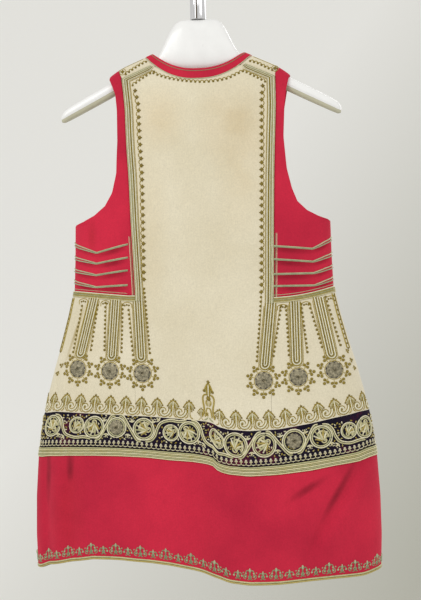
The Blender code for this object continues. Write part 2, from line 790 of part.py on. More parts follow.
def make_hanger_body():
    """The moulded body: a tall hump that carries the neck, and two arms that slope down."""
    stations = [(-row[0],) + row[1:] for row in reversed(HANGER[1:])] + list(HANGER)
    rings = [hanger_ring(*station) for station in stations]
    sides = len(rings[0])
    points = [point for ring in rings for point in ring]
    faces = []
    for r in range(len(rings) - 1):
        for i in range(sides):
            k = (i + 1) % sides
            faces.append((r * sides + i, r * sides + k, (r + 1) * sides + k, (r + 1) * sides + i))
    faces.append(tuple(range(sides)))
    faces.append(tuple((len(rings) - 1) * sides + i for i in reversed(range(sides))))
    add_mesh("hanger_body", points, faces, "white_plastic")


def make_hanger_rod():
    sides = 24
    points, faces = [], []
    for z in (ROD_SEAT_Z, 0.0):
        for i in range(sides):
            angle = 2.0 * math.pi * i / sides
            points.append((ROD_RADIUS * math.cos(angle), ROD_RADIUS * math.sin(angle), z))
    for i in range(sides):
        k = (i + 1) % sides
        faces.append((i, k, sides + k, sides + i))
    faces.append(tuple(reversed(range(sides))))
    faces.append(tuple(range(sides, 2 * sides)))
    add_mesh("hanger_rod", points, faces, "chrome")


def make_jacket():
    make_back_panel()
    make_bindings()
    make_skirt_rows()
    for label, sign in (("left", -1), ("right", 1)):
        make_front(f"front_{label}", sign)
        make_side(f"side_back_{label}", sign, -1)
        make_side(f"side_front_{label}", sign, 1)
        make_skirt_side(f"skirt_back_{label}", sign, -1)
        make_skirt_side(f"skirt_front_{label}", sign, 1)
        make_waist_braid(f"waist_braid_{label}", sign)
        make_long_braid(f"long_braid_{label}", sign)
        for number, row in enumerate(TABS, 1):
            top_x, foot_x, left_z, right_z, disc_x, disc_left_z, disc_right_z = row
            foot_z, disc_z = (left_z, disc_left_z) if sign < 0 else (right_z, disc_right_z)
            make_tab(f"tab_{label}_{number}", sign, top_x, foot_x, foot_z)
            make_rosette(f"rosette_{label}_{number}", sign * disc_x + back_shift(disc_z), disc_z)
        for number, heights in enumerate(LEFT_CORDS if sign < 0 else RIGHT_CORDS, 1):
            make_piping(f"cord_{label}_{number}", sign, heights)


clear_scene()
make_jacket()
make_hanger_body()
make_hanger_rod()
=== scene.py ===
"""Looks of a sleeveless folk jacket on a display hanger: cloth, braids, embroidery, hanger, light and camera.

Sizes are metres in the part's own frame: +Z up, the jacket's back faces -Y and its open front +Y, and +X
is to the right of someone who looks at the back. Cloth and trim lie on one surface, the outer face of the
hung cloth, which is worked out from the same sections as the solids, with its creases added.
"""

import math

import bpy
import numpy as np
from mathutils import Matrix, Vector


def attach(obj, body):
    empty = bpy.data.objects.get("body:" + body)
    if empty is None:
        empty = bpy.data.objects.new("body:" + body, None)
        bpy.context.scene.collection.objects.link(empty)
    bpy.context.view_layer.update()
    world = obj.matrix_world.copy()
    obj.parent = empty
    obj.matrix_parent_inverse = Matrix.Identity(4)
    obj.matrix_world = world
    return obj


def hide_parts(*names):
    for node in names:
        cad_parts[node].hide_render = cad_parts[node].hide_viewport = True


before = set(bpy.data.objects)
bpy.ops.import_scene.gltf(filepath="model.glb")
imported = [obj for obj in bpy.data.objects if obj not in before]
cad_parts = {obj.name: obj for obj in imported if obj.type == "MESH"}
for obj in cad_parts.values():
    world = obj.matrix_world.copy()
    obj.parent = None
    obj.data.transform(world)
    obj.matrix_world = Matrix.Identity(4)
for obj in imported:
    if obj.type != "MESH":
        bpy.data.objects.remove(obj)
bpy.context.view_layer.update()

TAU = math.tau

# Sizes of the cut, as in the solids
NECK_X = 0.072
NECK_Z = -0.113
SHOULDER_SLOPE = 0.434
SHOULDER_BEND_X = 0.112
SHOULDER_BEND = 6.4
SHOULDER_TILT = 0.020
SHOULDER_RADIUS = 0.014
SHOULDER_SEAM_DROP = 0.023
SHOULDER_SETTLE = 0.150
BACK_NECK_Z = -0.1395
BACK_NECK_POWER = 2.2
BINDING_WIDTH = 0.012
BINDING_BACK_Z = -0.1565
FRONT_EDGE_X = 0.006
FRONT_NECK_Z = -0.270
FRONT_NECK_POWER = 1.25
UNDERARM_Z = -0.378
WAIST_Z = -0.478
WAIST_SIDE_Z = -0.4797
WAIST_SIDE_X = 0.203
WAIST_DIP_WIDTH = 0.095
LEFT_WAIST_DIP = 0.0092
RIGHT_WAIST_DIP = 0.0156
WAIST_BRAID = 0.009
SECTION_POWER = 2.3
SEAM = 0.00015
WOOL = 0.0020
HEM_CORD_HEIGHT = 0.0055
ROD_RADIUS = 0.0123
ROD_SEAT_Z = -0.0603
HANGER_SQUARENESS = 0.75
ROSETTE_RADIUS = 0.013

# Sections: z, half_width, back_depth, front_depth, back_shift
SECTIONS = np.array((
    (-0.100, 0.200, 0.030, 0.028, 0.000),
    (-0.155, 0.200, 0.034, 0.031, 0.000),
    (-0.200, 0.200, 0.038, 0.034, 0.003),
    (-0.300, 0.200, 0.046, 0.042, 0.005),
    (-0.378, 0.200, 0.052, 0.048, 0.006),
    (-0.430, 0.201, 0.055, 0.052, 0.007),
    (-0.478, 0.203, 0.058, 0.055, 0.008),
    (-0.520, 0.213, 0.063, 0.060, 0.008),
    (-0.560, 0.224, 0.068, 0.065, 0.007),
    (-0.600, 0.236, 0.073, 0.070, 0.006),
    (-0.640, 0.247, 0.077, 0.075, 0.006),
    (-0.680, 0.256, 0.081, 0.079, 0.006),
    (-0.740, 0.265, 0.086, 0.084, 0.006),
    (-0.800, 0.269, 0.090, 0.088, 0.006),
    (-0.860, 0.270, 0.093, 0.091, 0.006),
    (-0.920, 0.268, 0.095, 0.093, 0.006),
))[::-1]

# Armholes: z, left_x, right_x, front_inset
ARMHOLE = np.array((
    (-0.1501, 0.1405, 0.1432, 0.0000),
    (-0.170, 0.1310, 0.1370, 0.0000),
    (-0.200, 0.1275, 0.1335, 0.0020),
    (-0.250, 0.1255, 0.1318, 0.0060),
    (-0.300, 0.1270, 0.1362, 0.0070),
    (-0.330, 0.1340, 0.1435, 0.0070),
    (-0.350, 0.1460, 0.1515, 0.0060),
    (-0.364, 0.1640, 0.1660, 0.0040),
    (-0.373, 0.1840, 0.1840, 0.0010),
    (UNDERARM_Z, 0.2000, 0.2000, 0.0000),
))[::-1]

# Seams of the red sides: z, back_x, front_x
SIDE_SEAM = np.array((
    (-0.137, 0.1257, 0.1257),
    (-0.150, 0.1198, 0.1198),
    (-0.165, 0.1191, 0.1191),
    (-0.210, 0.1169, 0.1151),
    (-0.260, 0.1145, 0.1105),
    (-0.310, 0.1120, 0.1066),
    (-0.380, 0.1097, 0.1034),
    (-0.490, 0.1060, 0.1000),
    (-0.600, 0.1040, 0.0980),
    (-0.700, 0.1020, 0.0960),
))[::-1]

# Rows across the back: x, then the height of each row
ROW_COLUMNS = ("x", "band_top", "band_foot", "braid_foot", "hem")
ROWS = np.array((
    (-0.270, -0.6665, -0.7215, -0.7370, -0.9085),
    (-0.240, -0.6665, -0.7212, -0.7350, -0.9020),
    (-0.205, -0.6668, -0.7193, -0.7326, -0.8938),
    (-0.165, -0.6680, -0.7184, -0.7313, -0.8870),
    (-0.120, -0.6700, -0.7190, -0.7315, -0.8876),
    (-0.080, -0.6718, -0.7215, -0.7333, -0.8908),
    (-0.045, -0.6745, -0.7246, -0.7373, -0.8950),
    (-0.010, -0.6775, -0.7272, -0.7397, -0.9008),
    (0.012, -0.6797, -0.7300, -0.7423, -0.9050),
    (0.021, -0.6820, -0.7320, -0.7443, -0.9070),
    (0.030, -0.6873, -0.7405, -0.7525, -0.9090),
    (0.045, -0.6912, -0.7442, -0.7566, -0.9140),
    (0.075, -0.6937, -0.7465, -0.7597, -0.9177),
    (0.120, -0.6918, -0.7443, -0.7580, -0.9172),
    (0.165, -0.6850, -0.7395, -0.7540, -0.9155),
    (0.200, -0.6780, -0.7350, -0.7484, -0.9150),
    (0.235, -0.6722, -0.7300, -0.7444, -0.9152),
    (0.262, -0.6690, -0.7250, -0.7400, -0.9148),
    (0.270, -0.6680, -0.7240, -0.7390, -0.9140),
))
FRONT_ROWS = dict(band_top=-0.6700, band_foot=-0.7240, braid_foot=-0.7385, hem=-0.9110)

# Piping cords on the left (-1) and right (1): where they turn across, then seam_z, middle_z, side_z
CORD_X = {-1: (0.110, 0.160, 0.203), 1: (0.110, 0.173, 0.203)}
CORDS = {
    -1: (
        (-0.4103, -0.4222, -0.4047),
        (-0.4307, -0.4387, -0.4262),
        (-0.4503, -0.4566, -0.4458),
        (-0.4729, -0.4751, -0.4638),
    ),
    1: (
        (-0.4178, -0.4230, -0.4055),
        (-0.4378, -0.4426, -0.4295),
        (-0.4608, -0.4601, -0.4485),
        (-0.4788, -0.4787, -0.4665),
    ),
}

# Tabs: top_x, foot_x, foot_left_z, foot_right_z, rosette_x, rosette_left_z, rosette_right_z
TABS = (
    (0.1720, 0.1935, -0.5845, -0.5910, 0.1960, -0.6005, -0.6066),
    (0.1370, 0.1410, -0.5885, -0.5995, 0.1430, -0.6036, -0.6156),
    (0.1010, 0.0935, -0.5910, -0.6045, 0.0915, -0.6070, -0.6200),
)
TAB_WIDTH = 0.017

# Hanger sections: x, top_z, foot_z, half_depth
HANGER = (
    (0.000, -0.0606, -0.1400, 0.0145),
    (0.020, -0.0606, -0.1400, 0.0145),
    (0.029, -0.0622, -0.1395, 0.0140),
    (0.037, -0.0680, -0.1385, 0.0132),
    (0.045, -0.0800, -0.1375, 0.0124),
    (0.053, -0.0970, -0.1370, 0.0115),
    (0.063, -0.1143, -0.1390, 0.0105),
    (0.075, -0.1199, -0.1450, 0.0100),
    (0.100, -0.1325, -0.1575, 0.0100),
    (0.145, -0.1578, -0.1805, 0.0098),
    (0.180, -0.1760, -0.1980, 0.0094),
    (0.206, -0.1905, -0.2105, 0.0088),
    (0.2145, -0.1965, -0.2140, 0.0074),
    (0.2185, -0.2015, -0.2135, 0.0050),
)

# The fold at the centre back and the swells beside it
FOLD_X = 0.013
FOLD_WIDTH = 0.014
FOLD_TOP_Z = -0.560
FOLD_LENGTH = 0.360
LEFT_SWELL = (-0.045, 0.100, 0.000, -0.010)
RIGHT_SWELL = (0.085, 0.075, 0.008, 0.010)
SWELL_END_X = 0.270
SWELL_FADE = 0.160

# Creases of the cloth: side (-1 back, 1 front), from x and z, to x and z, half-width, height
CREASES = np.array((
    (-1, -0.190, -0.505, -0.236, -0.655, 0.005, -0.0036),
    (-1, -0.180, -0.520, -0.222, -0.650, 0.009, 0.0016),
    (-1, -0.246, -0.735, -0.242, -0.905, 0.009, -0.0056),
    (-1, -0.206, -0.740, -0.200, -0.900, 0.011, -0.0042),
    (-1, -0.225, -0.745, -0.222, -0.900, 0.012, 0.0026),
    (-1, 0.238, -0.755, 0.158, -0.880, 0.008, -0.0046),
    (-1, 0.250, -0.765, 0.182, -0.880, 0.014, 0.0028),
    (-1, 0.185, -0.775, 0.130, -0.805, 0.009, -0.0030),
    (-1, -0.085, -0.765, -0.100, -0.900, 0.016, 0.0018),
    (-1, -0.135, -0.790, -0.140, -0.905, 0.014, -0.0022),
    (-1, -0.030, -0.760, -0.022, -0.905, 0.018, 0.0020),
    (-1, 0.075, -0.790, 0.080, -0.925, 0.015, -0.0016),
    (-1, -0.098, -0.180, -0.050, -0.300, 0.014, -0.0014),
    (-1, 0.100, -0.185, 0.055, -0.310, 0.014, -0.0014),
    (-1, -0.030, -0.200, -0.022, -0.520, 0.022, 0.0012),
    (-1, 0.045, -0.260, 0.035, -0.560, 0.020, -0.0012),
    (-1, -0.172, -0.388, -0.166, -0.414, 0.006, -0.0016),
    (-1, 0.172, -0.386, 0.160, -0.412, 0.007, -0.0014),
    (-1, -0.060, -0.510, -0.070, -0.640, 0.018, 0.0012),
    (-1, 0.060, -0.520, 0.078, -0.640, 0.018, 0.0012),
    (1, -0.060, -0.300, -0.085, -0.470, 0.012, -0.0020),
    (1, 0.058, -0.310, 0.090, -0.460, 0.012, -0.0020),
    (1, -0.100, -0.200, -0.055, -0.330, 0.012, -0.0018),
    (1, 0.100, -0.200, 0.060, -0.320, 0.013, -0.0018),
    (1, -0.040, -0.500, -0.060, -0.660, 0.016, 0.0020),
    (1, 0.045, -0.500, 0.055, -0.660, 0.016, 0.0020),
    (1, -0.180, -0.520, -0.222, -0.660, 0.008, -0.0024),
    (1, 0.186, -0.520, 0.226, -0.650, 0.008, -0.0022),
    (1, -0.220, -0.745, -0.232, -0.905, 0.012, -0.0034),
    (1, -0.140, -0.760, -0.128, -0.905, 0.016, 0.0028),
    (1, -0.060, -0.750, -0.072, -0.905, 0.014, -0.0028),
    (1, 0.070, -0.755, 0.062, -0.905, 0.015, -0.0026),
    (1, 0.150, -0.760, 0.165, -0.905, 0.016, 0.0028),
    (1, 0.225, -0.745, 0.215, -0.900, 0.012, -0.0030),
))

# Tucks along the piping: where they start, their ridge and the hollow under it
TUCK_X = 0.108
TUCK_X_FADE = 0.014
TUCK_Z = -0.484
TUCK_Z_FADE = 0.006
TUCK_RIDGE = 0.0010
TUCK_RIDGE_WIDTH = 0.0045
TUCK_HOLLOW = 0.0026
TUCK_HOLLOW_WIDTH = 0.0040
TUCK_HOLLOW_DROP = 0.0065

# Creases run on past their ends and taper off, a faint ripple lies under them, and all relief fades at the
# sides and the shoulder
CREASE_OVERRUN = 0.15
CREASE_TAPER = 0.35
RELIEF_SIDE_FADE = 0.06
RELIEF_TOP_FADE = 0.04
RIPPLE = 0.0003
ROW_SIDE_FADE = 0.03

# Edges of the cloth: how far in they round off and by how much, and how much of that the inner face does
EDGE_ROUND = 0.0016
EDGE_DROP = 0.0007
PRESSED_DROP = 0.0001
INNER_SHARE = 0.4
CLOTH_PITCH = 0.0045
SETTLE_ROUNDS = 14
FACES = {-1: "back", 1: "front"}


def smooth(t):
    t = np.clip(t, 0.0, 1.0)
    return t * t * (3.0 - 2.0 * t)


def even_shares(count):
    return np.linspace(0.0, 1.0, count)


def ring_angles(count):
    return TAU * np.arange(count) / count


def mix(a, b, t):
    return a + (b - a) * t


def bell(t):
    return np.exp(-t * t)


def read(table, column, key):
    return np.interp(key, table[:, 0], table[:, column])


def crest(x):
    """Height of the shoulder line, which steepens outwards and lies lower on the right."""
    bend = SHOULDER_BEND * np.maximum(np.abs(x) - SHOULDER_BEND_X, 0.0) ** 2
    return NECK_Z - SHOULDER_SLOPE * (np.abs(x) - NECK_X) - bend - SHOULDER_TILT * x


def half_width(z):
    return read(SECTIONS, 1, z)


def back_shift(z):
    return read(SECTIONS, 4, z)


def swell_of(row, x):
    place, width, even, crown = row
    return even + crown * bell((x - place) / width)


def swell(x, z):
    step = 0.5 * (1.0 + np.tanh((x - FOLD_X) / FOLD_WIDTH))
    right = step * swell_of(RIGHT_SWELL, x) * smooth((SWELL_END_X - x) / SWELL_FADE)
    left = (1.0 - step) * swell_of(LEFT_SWELL, x)
    return smooth((FOLD_TOP_Z - z) / FOLD_LENGTH) * (right + left)


def cord_height(heights, reach, sign):
    """Height of a piping cord at a distance from the middle."""
    seam_z, middle_z, side_z = heights
    seam_x, middle_x, side_x = CORD_X[sign]
    near = mix(seam_z, middle_z, smooth((reach - seam_x) / (middle_x - seam_x)))
    far = mix(middle_z, side_z, (reach - middle_x) / (side_x - middle_x))
    return np.where(reach < middle_x, near, far)


def tucks(x, z):
    """The red sides are pinched along each piping cord and fall in under it."""
    total = 0.0
    for sign, cords in CORDS.items():
        on_side = smooth((sign * x - TUCK_X) / TUCK_X_FADE) * smooth((z - TUCK_Z) / TUCK_Z_FADE)
        for heights in cords:
            drop = z - cord_height(heights, np.abs(x), sign)
            ridge = TUCK_RIDGE * bell(drop / TUCK_RIDGE_WIDTH)
            hollow = TUCK_HOLLOW * bell((drop + TUCK_HOLLOW_DROP) / TUCK_HOLLOW_WIDTH)
            total = total + on_side * (ridge - hollow)
    return total


def creases(x, z, side):
    total = RIPPLE * (np.sin(41.0 * x + 17.0 * z + side) + np.sin(29.0 * z - 23.0 * x + 2.0 * side))
    for _, x0, z0, x1, z1, width, height in CREASES[CREASES[:, 0] == side]:
        run_x, run_z = x1 - x0, z1 - z0
        length = math.hypot(run_x, run_z)
        along = ((x - x0) * run_x + (z - z0) * run_z) / length**2
        across = ((x - x0) * run_z - (z - z0) * run_x) / length
        start = smooth((along + CREASE_OVERRUN) / CREASE_TAPER)
        end = smooth((1.0 + CREASE_OVERRUN - along) / CREASE_TAPER)
        total = total + height * start * end * bell(across / width)
    return total


def depth(x, z, side):
    """Distance of the cloth's outer face from the plane Y = 0; side is -1 on the back and 1 in front."""
    across = np.minimum(np.abs(x) / half_width(z), 1.0)
    reach = read(SECTIONS, 2 if side < 0 else 3, z)
    section = reach * (1.0 - across**SECTION_POWER) ** (1.0 / SECTION_POWER)
    drop = np.maximum(crest(x) - z, 0.0)
    turn = 1.0 - np.minimum(drop / SHOULDER_RADIUS, 1.0)
    arch = SHOULDER_RADIUS * np.sqrt(1.0 - turn * turn)
    fold = swell(x, z) * (1.0 - across**4) if side < 0 else 0.0
    fade = smooth((1.0 - across) / RELIEF_SIDE_FADE) * smooth(drop / RELIEF_TOP_FADE)
    relief = (creases(x, z, side) + tucks(x, z)) * fade
    return arch + (section - SHOULDER_RADIUS) * smooth(drop / SHOULDER_SETTLE) + fold + relief


def on_cloth(x, z, side, lift=0.0):
    """Points on the cloth's outer face, moved out by lift, and the directions out of it."""
    step = 2e-5
    half = half_width(z)
    low_x, high_x = np.maximum(x - step, -half), np.minimum(x + step, half)
    high_z = np.minimum(z + step, crest(x))
    low_z = high_z - 2.0 * step
    here = depth(x, z, side)
    slope_x = (depth(high_x, z, side) - depth(low_x, z, side)) / np.maximum(high_x - low_x, 1e-9)
    slope_z = (depth(x, high_z, side) - depth(x, low_z, side)) / (high_z - low_z)
    out = np.stack((-slope_x, np.full_like(slope_x, side), -slope_z), axis=-1)
    out /= np.linalg.norm(out, axis=-1, keepdims=True)
    points = np.stack((x, side * here, z), axis=-1)
    return points + out * np.asarray(lift)[..., None], out


def turn_of(x, z):
    across = np.minimum(np.abs(x) / half_width(z), 1.0)
    return np.sign(x) * np.arcsin(across) / math.pi


def x_of(turn, z):
    return half_width(z) * np.sin(math.pi * turn)


def row_height(name, x, side):
    if side > 0:
        return np.full_like(x, FRONT_ROWS[name])
    level = read(ROWS, ROW_COLUMNS.index(name), x)
    near_side = smooth((half_width(level) - np.abs(x)) / ROW_SIDE_FADE)
    return mix(FRONT_ROWS[name], level, near_side)


def waist_height(x):
    """Lower edge of the red sides, which dips towards the back seam, more so on the right."""
    t = np.clip((WAIST_SIDE_X - np.abs(x)) / WAIST_DIP_WIDTH, 0.0, 1.0)
    dip = np.where(np.asarray(x) < 0.0, LEFT_WAIST_DIP * t, RIGHT_WAIST_DIP * (1.0 - (1.0 - t) ** 2))
    return WAIST_SIDE_Z - dip


def skirt_top(x):
    """Lower edge of the waist braid, where the skirt's cloth starts."""
    return waist_height(x) - WAIST_BRAID


def neck_high(x):
    rise = crest(np.copysign(NECK_X, x)) - BACK_NECK_Z
    return BACK_NECK_Z + rise * (np.abs(x) / NECK_X) ** BACK_NECK_POWER


def binding_rise(sign):
    return crest(sign * (NECK_X + BINDING_WIDTH)) - BINDING_BACK_Z


def neck_low(x):
    share = np.abs(x) / (NECK_X + BINDING_WIDTH)
    return BINDING_BACK_Z + binding_rise(np.copysign(1.0, x)) * share**BACK_NECK_POWER


def neck_low_x(z, sign):
    share = np.maximum(z - BINDING_BACK_Z, 0.0) / binding_rise(sign)
    return (NECK_X + BINDING_WIDTH) * share ** (1.0 / BACK_NECK_POWER)


def front_edge(z, sign, inset=0.0):
    start_z = crest(sign * (NECK_X + inset))
    end_z = FRONT_NECK_Z - inset
    fall = np.clip((z - end_z) / (start_z - end_z), 0.0, 1.0)
    return FRONT_EDGE_X + inset + (NECK_X - FRONT_EDGE_X) * fall**FRONT_NECK_POWER


def side_seam(z, side=-1):
    return read(SIDE_SEAM, 1 if side < 0 else 2, z)


def armhole_x(z, sign, side):
    inset = read(ARMHOLE, 3, z) if side > 0 else 0.0
    return sign * (read(ARMHOLE, 1 if sign < 0 else 2, z) - inset)


# Mesh making


def add_object(name, data):
    obj = bpy.data.objects.new(name, data)
    bpy.context.scene.collection.objects.link(obj)
    return obj


def add_mesh(name, points, faces, finishes, uvs=None, tones=None, slots=None):
    """A smooth-shaded object; uvs are metres, tones pick a thread's colour, slots pick a face's finish."""
    mesh = bpy.data.meshes.new(name)
    mesh.from_pydata(np.asarray(points).tolist(), [], faces)
    for finish in finishes:
        mesh.materials.append(finish)
    if slots is not None:
        mesh.polygons.foreach_set("material_index", slots)
    if uvs is not None:
        layer = mesh.uv_layers.new(name="cloth")
        corners = np.zeros(len(mesh.loops), dtype=np.int32)
        mesh.loops.foreach_get("vertex_index", corners)
        layer.data.foreach_set("uv", np.asarray(uvs, dtype=np.float32)[corners].ravel())
    if tones is not None:
        layer = mesh.attributes.new("tone", "FLOAT", "POINT")
        layer.data.foreach_set("value", np.asarray(tones, dtype=np.float32))
    mesh.shade_smooth()
    mesh.set_sharp_from_angle(angle=math.radians(60))
    obj = add_object(name, mesh)
    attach(obj, "root")
    return obj


def stand_for(obj, slot, *nodes):
    """Hides the solids, by node name, that an object stands for; neither the object nor its slot is used."""
    if nodes:
        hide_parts(*nodes)


def around(sides):
    """Each index of a ring with the next one."""
    return [(i, (i + 1) % sides) for i in range(sides)]


def tube_faces(rings, sides):
    """Quads between rings of points that lie one after the other."""
    return [(ring * sides + i, ring * sides + k, (ring + 1) * sides + k, (ring + 1) * sides + i)
            for ring in range(rings - 1) for i, k in around(sides)]


def edge_steps(length, pitch=CLOTH_PITCH):
    """Shares from 0 to 1 across a piece, with close ones at both edges, where the cloth rounds off."""
    inner = np.linspace(EDGE_ROUND, length - EDGE_ROUND, max(int(length / pitch), 2) + 1)
    near = EDGE_ROUND * np.array((0.0, 0.3, 0.65))
    return np.concatenate((near, inner, length - near[::-1])) / length


def settle(left, right, foot, top, across, along):
    """Places of a grid whose rows run between two edges and whose heights depend on x."""
    share, rise = np.meshgrid(across, along)
    z = np.full_like(share, WAIST_Z)
    for _ in range(SETTLE_ROUNDS):
        x = x_of(mix(left(z), right(z), share), z)
        z = mix(foot(x), top(x), rise)
    return x, z


def stack_rows(left, right, levels, across):
    """Rows one above the other, each at the height that its own function gives."""
    rows = [settle(left, right, level, level, across, [0.0]) for level in levels]
    return [np.concatenate(part) for part in zip(*rows)]


def lengths_along(points, axis):
    steps = np.linalg.norm(np.diff(points, axis=axis), axis=-1)
    start = np.zeros_like(np.take(steps, [0], axis=axis))
    return np.concatenate((start, np.cumsum(steps, axis=axis)), axis=axis)


def edge_fall(points, edge_drop):
    """How far each point of a grid drops where the cloth rounds off at its edges, and its place on it."""
    u, v = lengths_along(points, 1), lengths_along(points, 0)
    near = np.minimum(np.minimum(u, u[:, -1:] - u), np.minimum(v, v[-1:, :] - v))
    return edge_drop * (1.0 - np.minimum(near / EDGE_ROUND, 1.0)) ** 2, u - 0.5 * u[:, -1:], v


def shell_faces(points, outs):
    """Faces of a closed wall on a grid: the outer grid, the inner one behind it and the rim between them."""
    rows, count = points.shape[:2]
    index = np.arange(rows * count).reshape(rows, count)
    a, b, c, d = index[:-1, :-1], index[:-1, 1:], index[1:, 1:], index[1:, :-1]
    outer = np.stack((a, b, c, d), axis=-1).reshape(-1, 4)
    inner = outer[:, ::-1] + rows * count
    rim = np.concatenate((index[0, :], index[1:, -1], index[-1, -2::-1], index[-2:0:-1, 0]))
    after = np.roll(rim, -1)
    walls = np.stack((after, rim, rim + rows * count, after + rows * count), axis=-1)
    faces = np.concatenate((outer, inner, walls))
    row, column = rows // 2, count // 2
    here = points[row, column]
    facing = np.cross(points[row, column + 1] - here, points[row + 1, column] - here)
    inward = float(np.dot(facing, outs[row, column])) < 0.0
    return (faces[:, ::-1] if inward else faces).tolist()


def add_wall(name, points, outs, lift, back, places, finish, tones=None):
    """A closed wall on a grid: its outer face lifted off the points, its inner face set back from them."""
    outer = points + outs * np.asarray(lift)[..., None]
    inner = points - outs * np.asarray(back)[..., None]
    both = np.concatenate((outer.reshape(-1, 3), inner.reshape(-1, 3)))
    uvs = np.tile(np.stack(places, axis=-1).reshape(-1, 2), (2, 1))
    tones = None if tones is None else np.tile(tones.ravel(), 2)
    return add_mesh(name, both, shell_faces(points, outs), [finish], uvs, tones)


def cloth(node, stretches, slot, lift=0.0, thickness=WOOL, edge_drop=EDGE_DROP):
    """The sheet that stands for a solid: a wall on stretches of the cloth, each x, z and side, joined up."""
    parts = [on_cloth(x, z, side) for x, z, side in stretches]
    points, outs = (np.concatenate(part) for part in zip(*parts))
    fall, u, v = edge_fall(points, edge_drop)
    back = thickness - INNER_SHARE * fall
    obj = add_wall(f"{node}_cloth", points, outs, lift - fall, back, (u, v), CLOTHS[slot])
    stand_for(obj, slot, node)


# Materials


class Finish:
    """A Principled material and short ways to add nodes to it."""

    def __init__(self, name, roughness, metallic=0.0, **values):
        self.material = bpy.data.materials.new(name)
        self.material.use_nodes = True
        self.tree = self.material.node_tree
        self.shader = self.tree.nodes["Principled BSDF"]
        self.set("Roughness", roughness)
        self.set("Metallic", metallic)
        for key, value in values.items():
            self.set(key.replace("_", " "), value)

    def set(self, socket, value):
        self.shader.inputs[socket].default_value = value

    def add(self, kind, inputs=None, **settings):
        node = self.tree.nodes.new("ShaderNode" + kind)
        for key, value in settings.items():
            setattr(node, key, value)
        for key, value in (inputs or {}).items():
            if isinstance(value, bpy.types.NodeSocket):
                self.tree.links.new(value, node.inputs[key])
            else:
                node.inputs[key].default_value = value
        return node

    def link(self, socket, target):
        self.tree.links.new(socket, self.shader.inputs[target])

    def place(self, kind="Object"):
        return self.add("TexCoord").outputs[kind]

    def noise(self, where, scale, detail=3.0, roughness=0.6):
        inputs = {"Vector": where, "Scale": scale, "Detail": detail, "Roughness": roughness}
        return self.add("TexNoise", inputs).outputs["Fac"]

    def stretched(self, where, scale):
        return self.add("Mapping", {"Vector": where, "Scale": scale}).outputs["Vector"]

    def math(self, operation, a, b=0.0):
        return self.add("Math", {0: a, 1: b}, operation=operation).outputs[0]

    def ramp(self, factor, stops):
        node = self.add("ValToRGB", {"Fac": factor})
        elements = node.color_ramp.elements
        while len(elements) < len(stops):
            elements.new(0.5)
        for element, (place, colour) in zip(elements, stops):
            element.position = place
            element.color = (*colour, 1.0)
        return node.outputs["Color"]

    def waves(self, where, scale, distortion, direction="X"):
        inputs = {"Vector": where, "Scale": scale, "Distortion": distortion}
        return self.add("TexWave", inputs, bands_direction=direction).outputs["Fac"]

    def spread(self, value, start, end, low=0.0, high=1.0):
        """A value that runs from start to end, spread out from low to high."""
        inputs = {"Value": value, "From Min": start, "From Max": end, "To Min": low, "To Max": high}
        return self.add("MapRange", inputs).outputs[0]

    def multiply(self, colour, shade, amount=1.0):
        """A colour darkened by a shade, which is a socket or a colour."""
        shade = shade if isinstance(shade, bpy.types.NodeSocket) else (*shade, 1.0)
        inputs = {0: amount, 6: colour, 7: shade}
        return self.add("Mix", inputs, data_type="RGBA", blend_type="MULTIPLY").outputs[2]

    def shaded(self, colour, factor, start, shade, end):
        """A colour darkened where a factor is low, and left alone from where it reaches the end."""
        return self.multiply(colour, self.ramp(factor, ((start, shade), (end, (1.0, 1.0, 1.0)))))

    def bump(self, height, strength, distance, normal=None):
        inputs = {"Height": height, "Strength": strength, "Distance": distance}
        if normal is not None:
            inputs["Normal"] = normal
        return self.add("Bump", inputs).outputs["Normal"]

    def relief(self, where, layers, normal=None):
        """Bumps of noise one over the other, each a scale, detail, roughness, strength and distance."""
        for scale, detail, roughness, strength, distance in layers:
            normal = self.bump(self.noise(where, scale, detail, roughness), strength, distance, normal)
        self.link(normal, "Normal")


def spot(finish, where, centre, size, lean=0.0):
    """1 at a place and 0 outside an ellipsoid round it, for a stain or the shade in a crease."""
    inputs = {"Vector": where, "Location": centre, "Rotation": (0.0, lean, 0.0), "Scale": size}
    scaled = finish.add("Mapping", inputs, vector_type="TEXTURE").outputs["Vector"]
    far = finish.add("VectorMath", {0: scaled}, operation="LENGTH").outputs["Value"]
    return finish.spread(far, 1.0, 0.2)


def wool(name, light, dark, sheen, stains_and_shade):
    """Fulled wool: a matt felted nap with the weave faint under it, worn, uneven dye, marks of staining, and
    painted shade in creases, folds and under piping.
    """
    finish = Finish(name, 0.92, Sheen_Weight=0.20, Sheen_Roughness=0.45, Specular_IOR_Level=0.30)
    finish.set("Sheen Tint", (*sheen, 1.0))
    where, flat = finish.place(), finish.place("UV")
    colour = finish.ramp(finish.noise(where, 9.0, 4.0, 0.55), ((0.32, dark), (0.68, light)))
    colour = finish.shaded(colour, finish.noise(where, 420.0, 2.0, 0.7), 0.25, (0.84, 0.84, 0.84), 0.75)
    streak = finish.noise(finish.stretched(flat, (900.0, 60.0, 1.0)), 1.0, 2.0)
    colour = finish.shaded(colour, streak, 0.3, (0.94, 0.94, 0.94), 0.7)
    ragged = finish.noise(where, 22.0, 4.0, 0.6)
    # Each row darkens the colour in a ragged ellipsoid: a stain, or painted shade in a crease, a fold or
    # under a piping cord
    for centre, size, lean, tint, strength in stains_and_shade:
        mark = finish.math("MULTIPLY", spot(finish, where, centre, size, lean), ragged)
        colour = finish.multiply(colour, tint, finish.math("MULTIPLY", mark, strength))
    finish.link(colour, "Base Color")
    threads = finish.math("MAXIMUM", finish.waves(flat, 520.0, 1.5), finish.waves(flat, 480.0, 1.5, "Y"))
    weave = finish.bump(threads, 0.12, 0.0003)
    finish.relief(where, ((900.0, 4.0, 0.75, 0.35, 0.0005), (60.0, 3.0, 0.6, 0.15, 0.0012)), weave)
    return finish.material


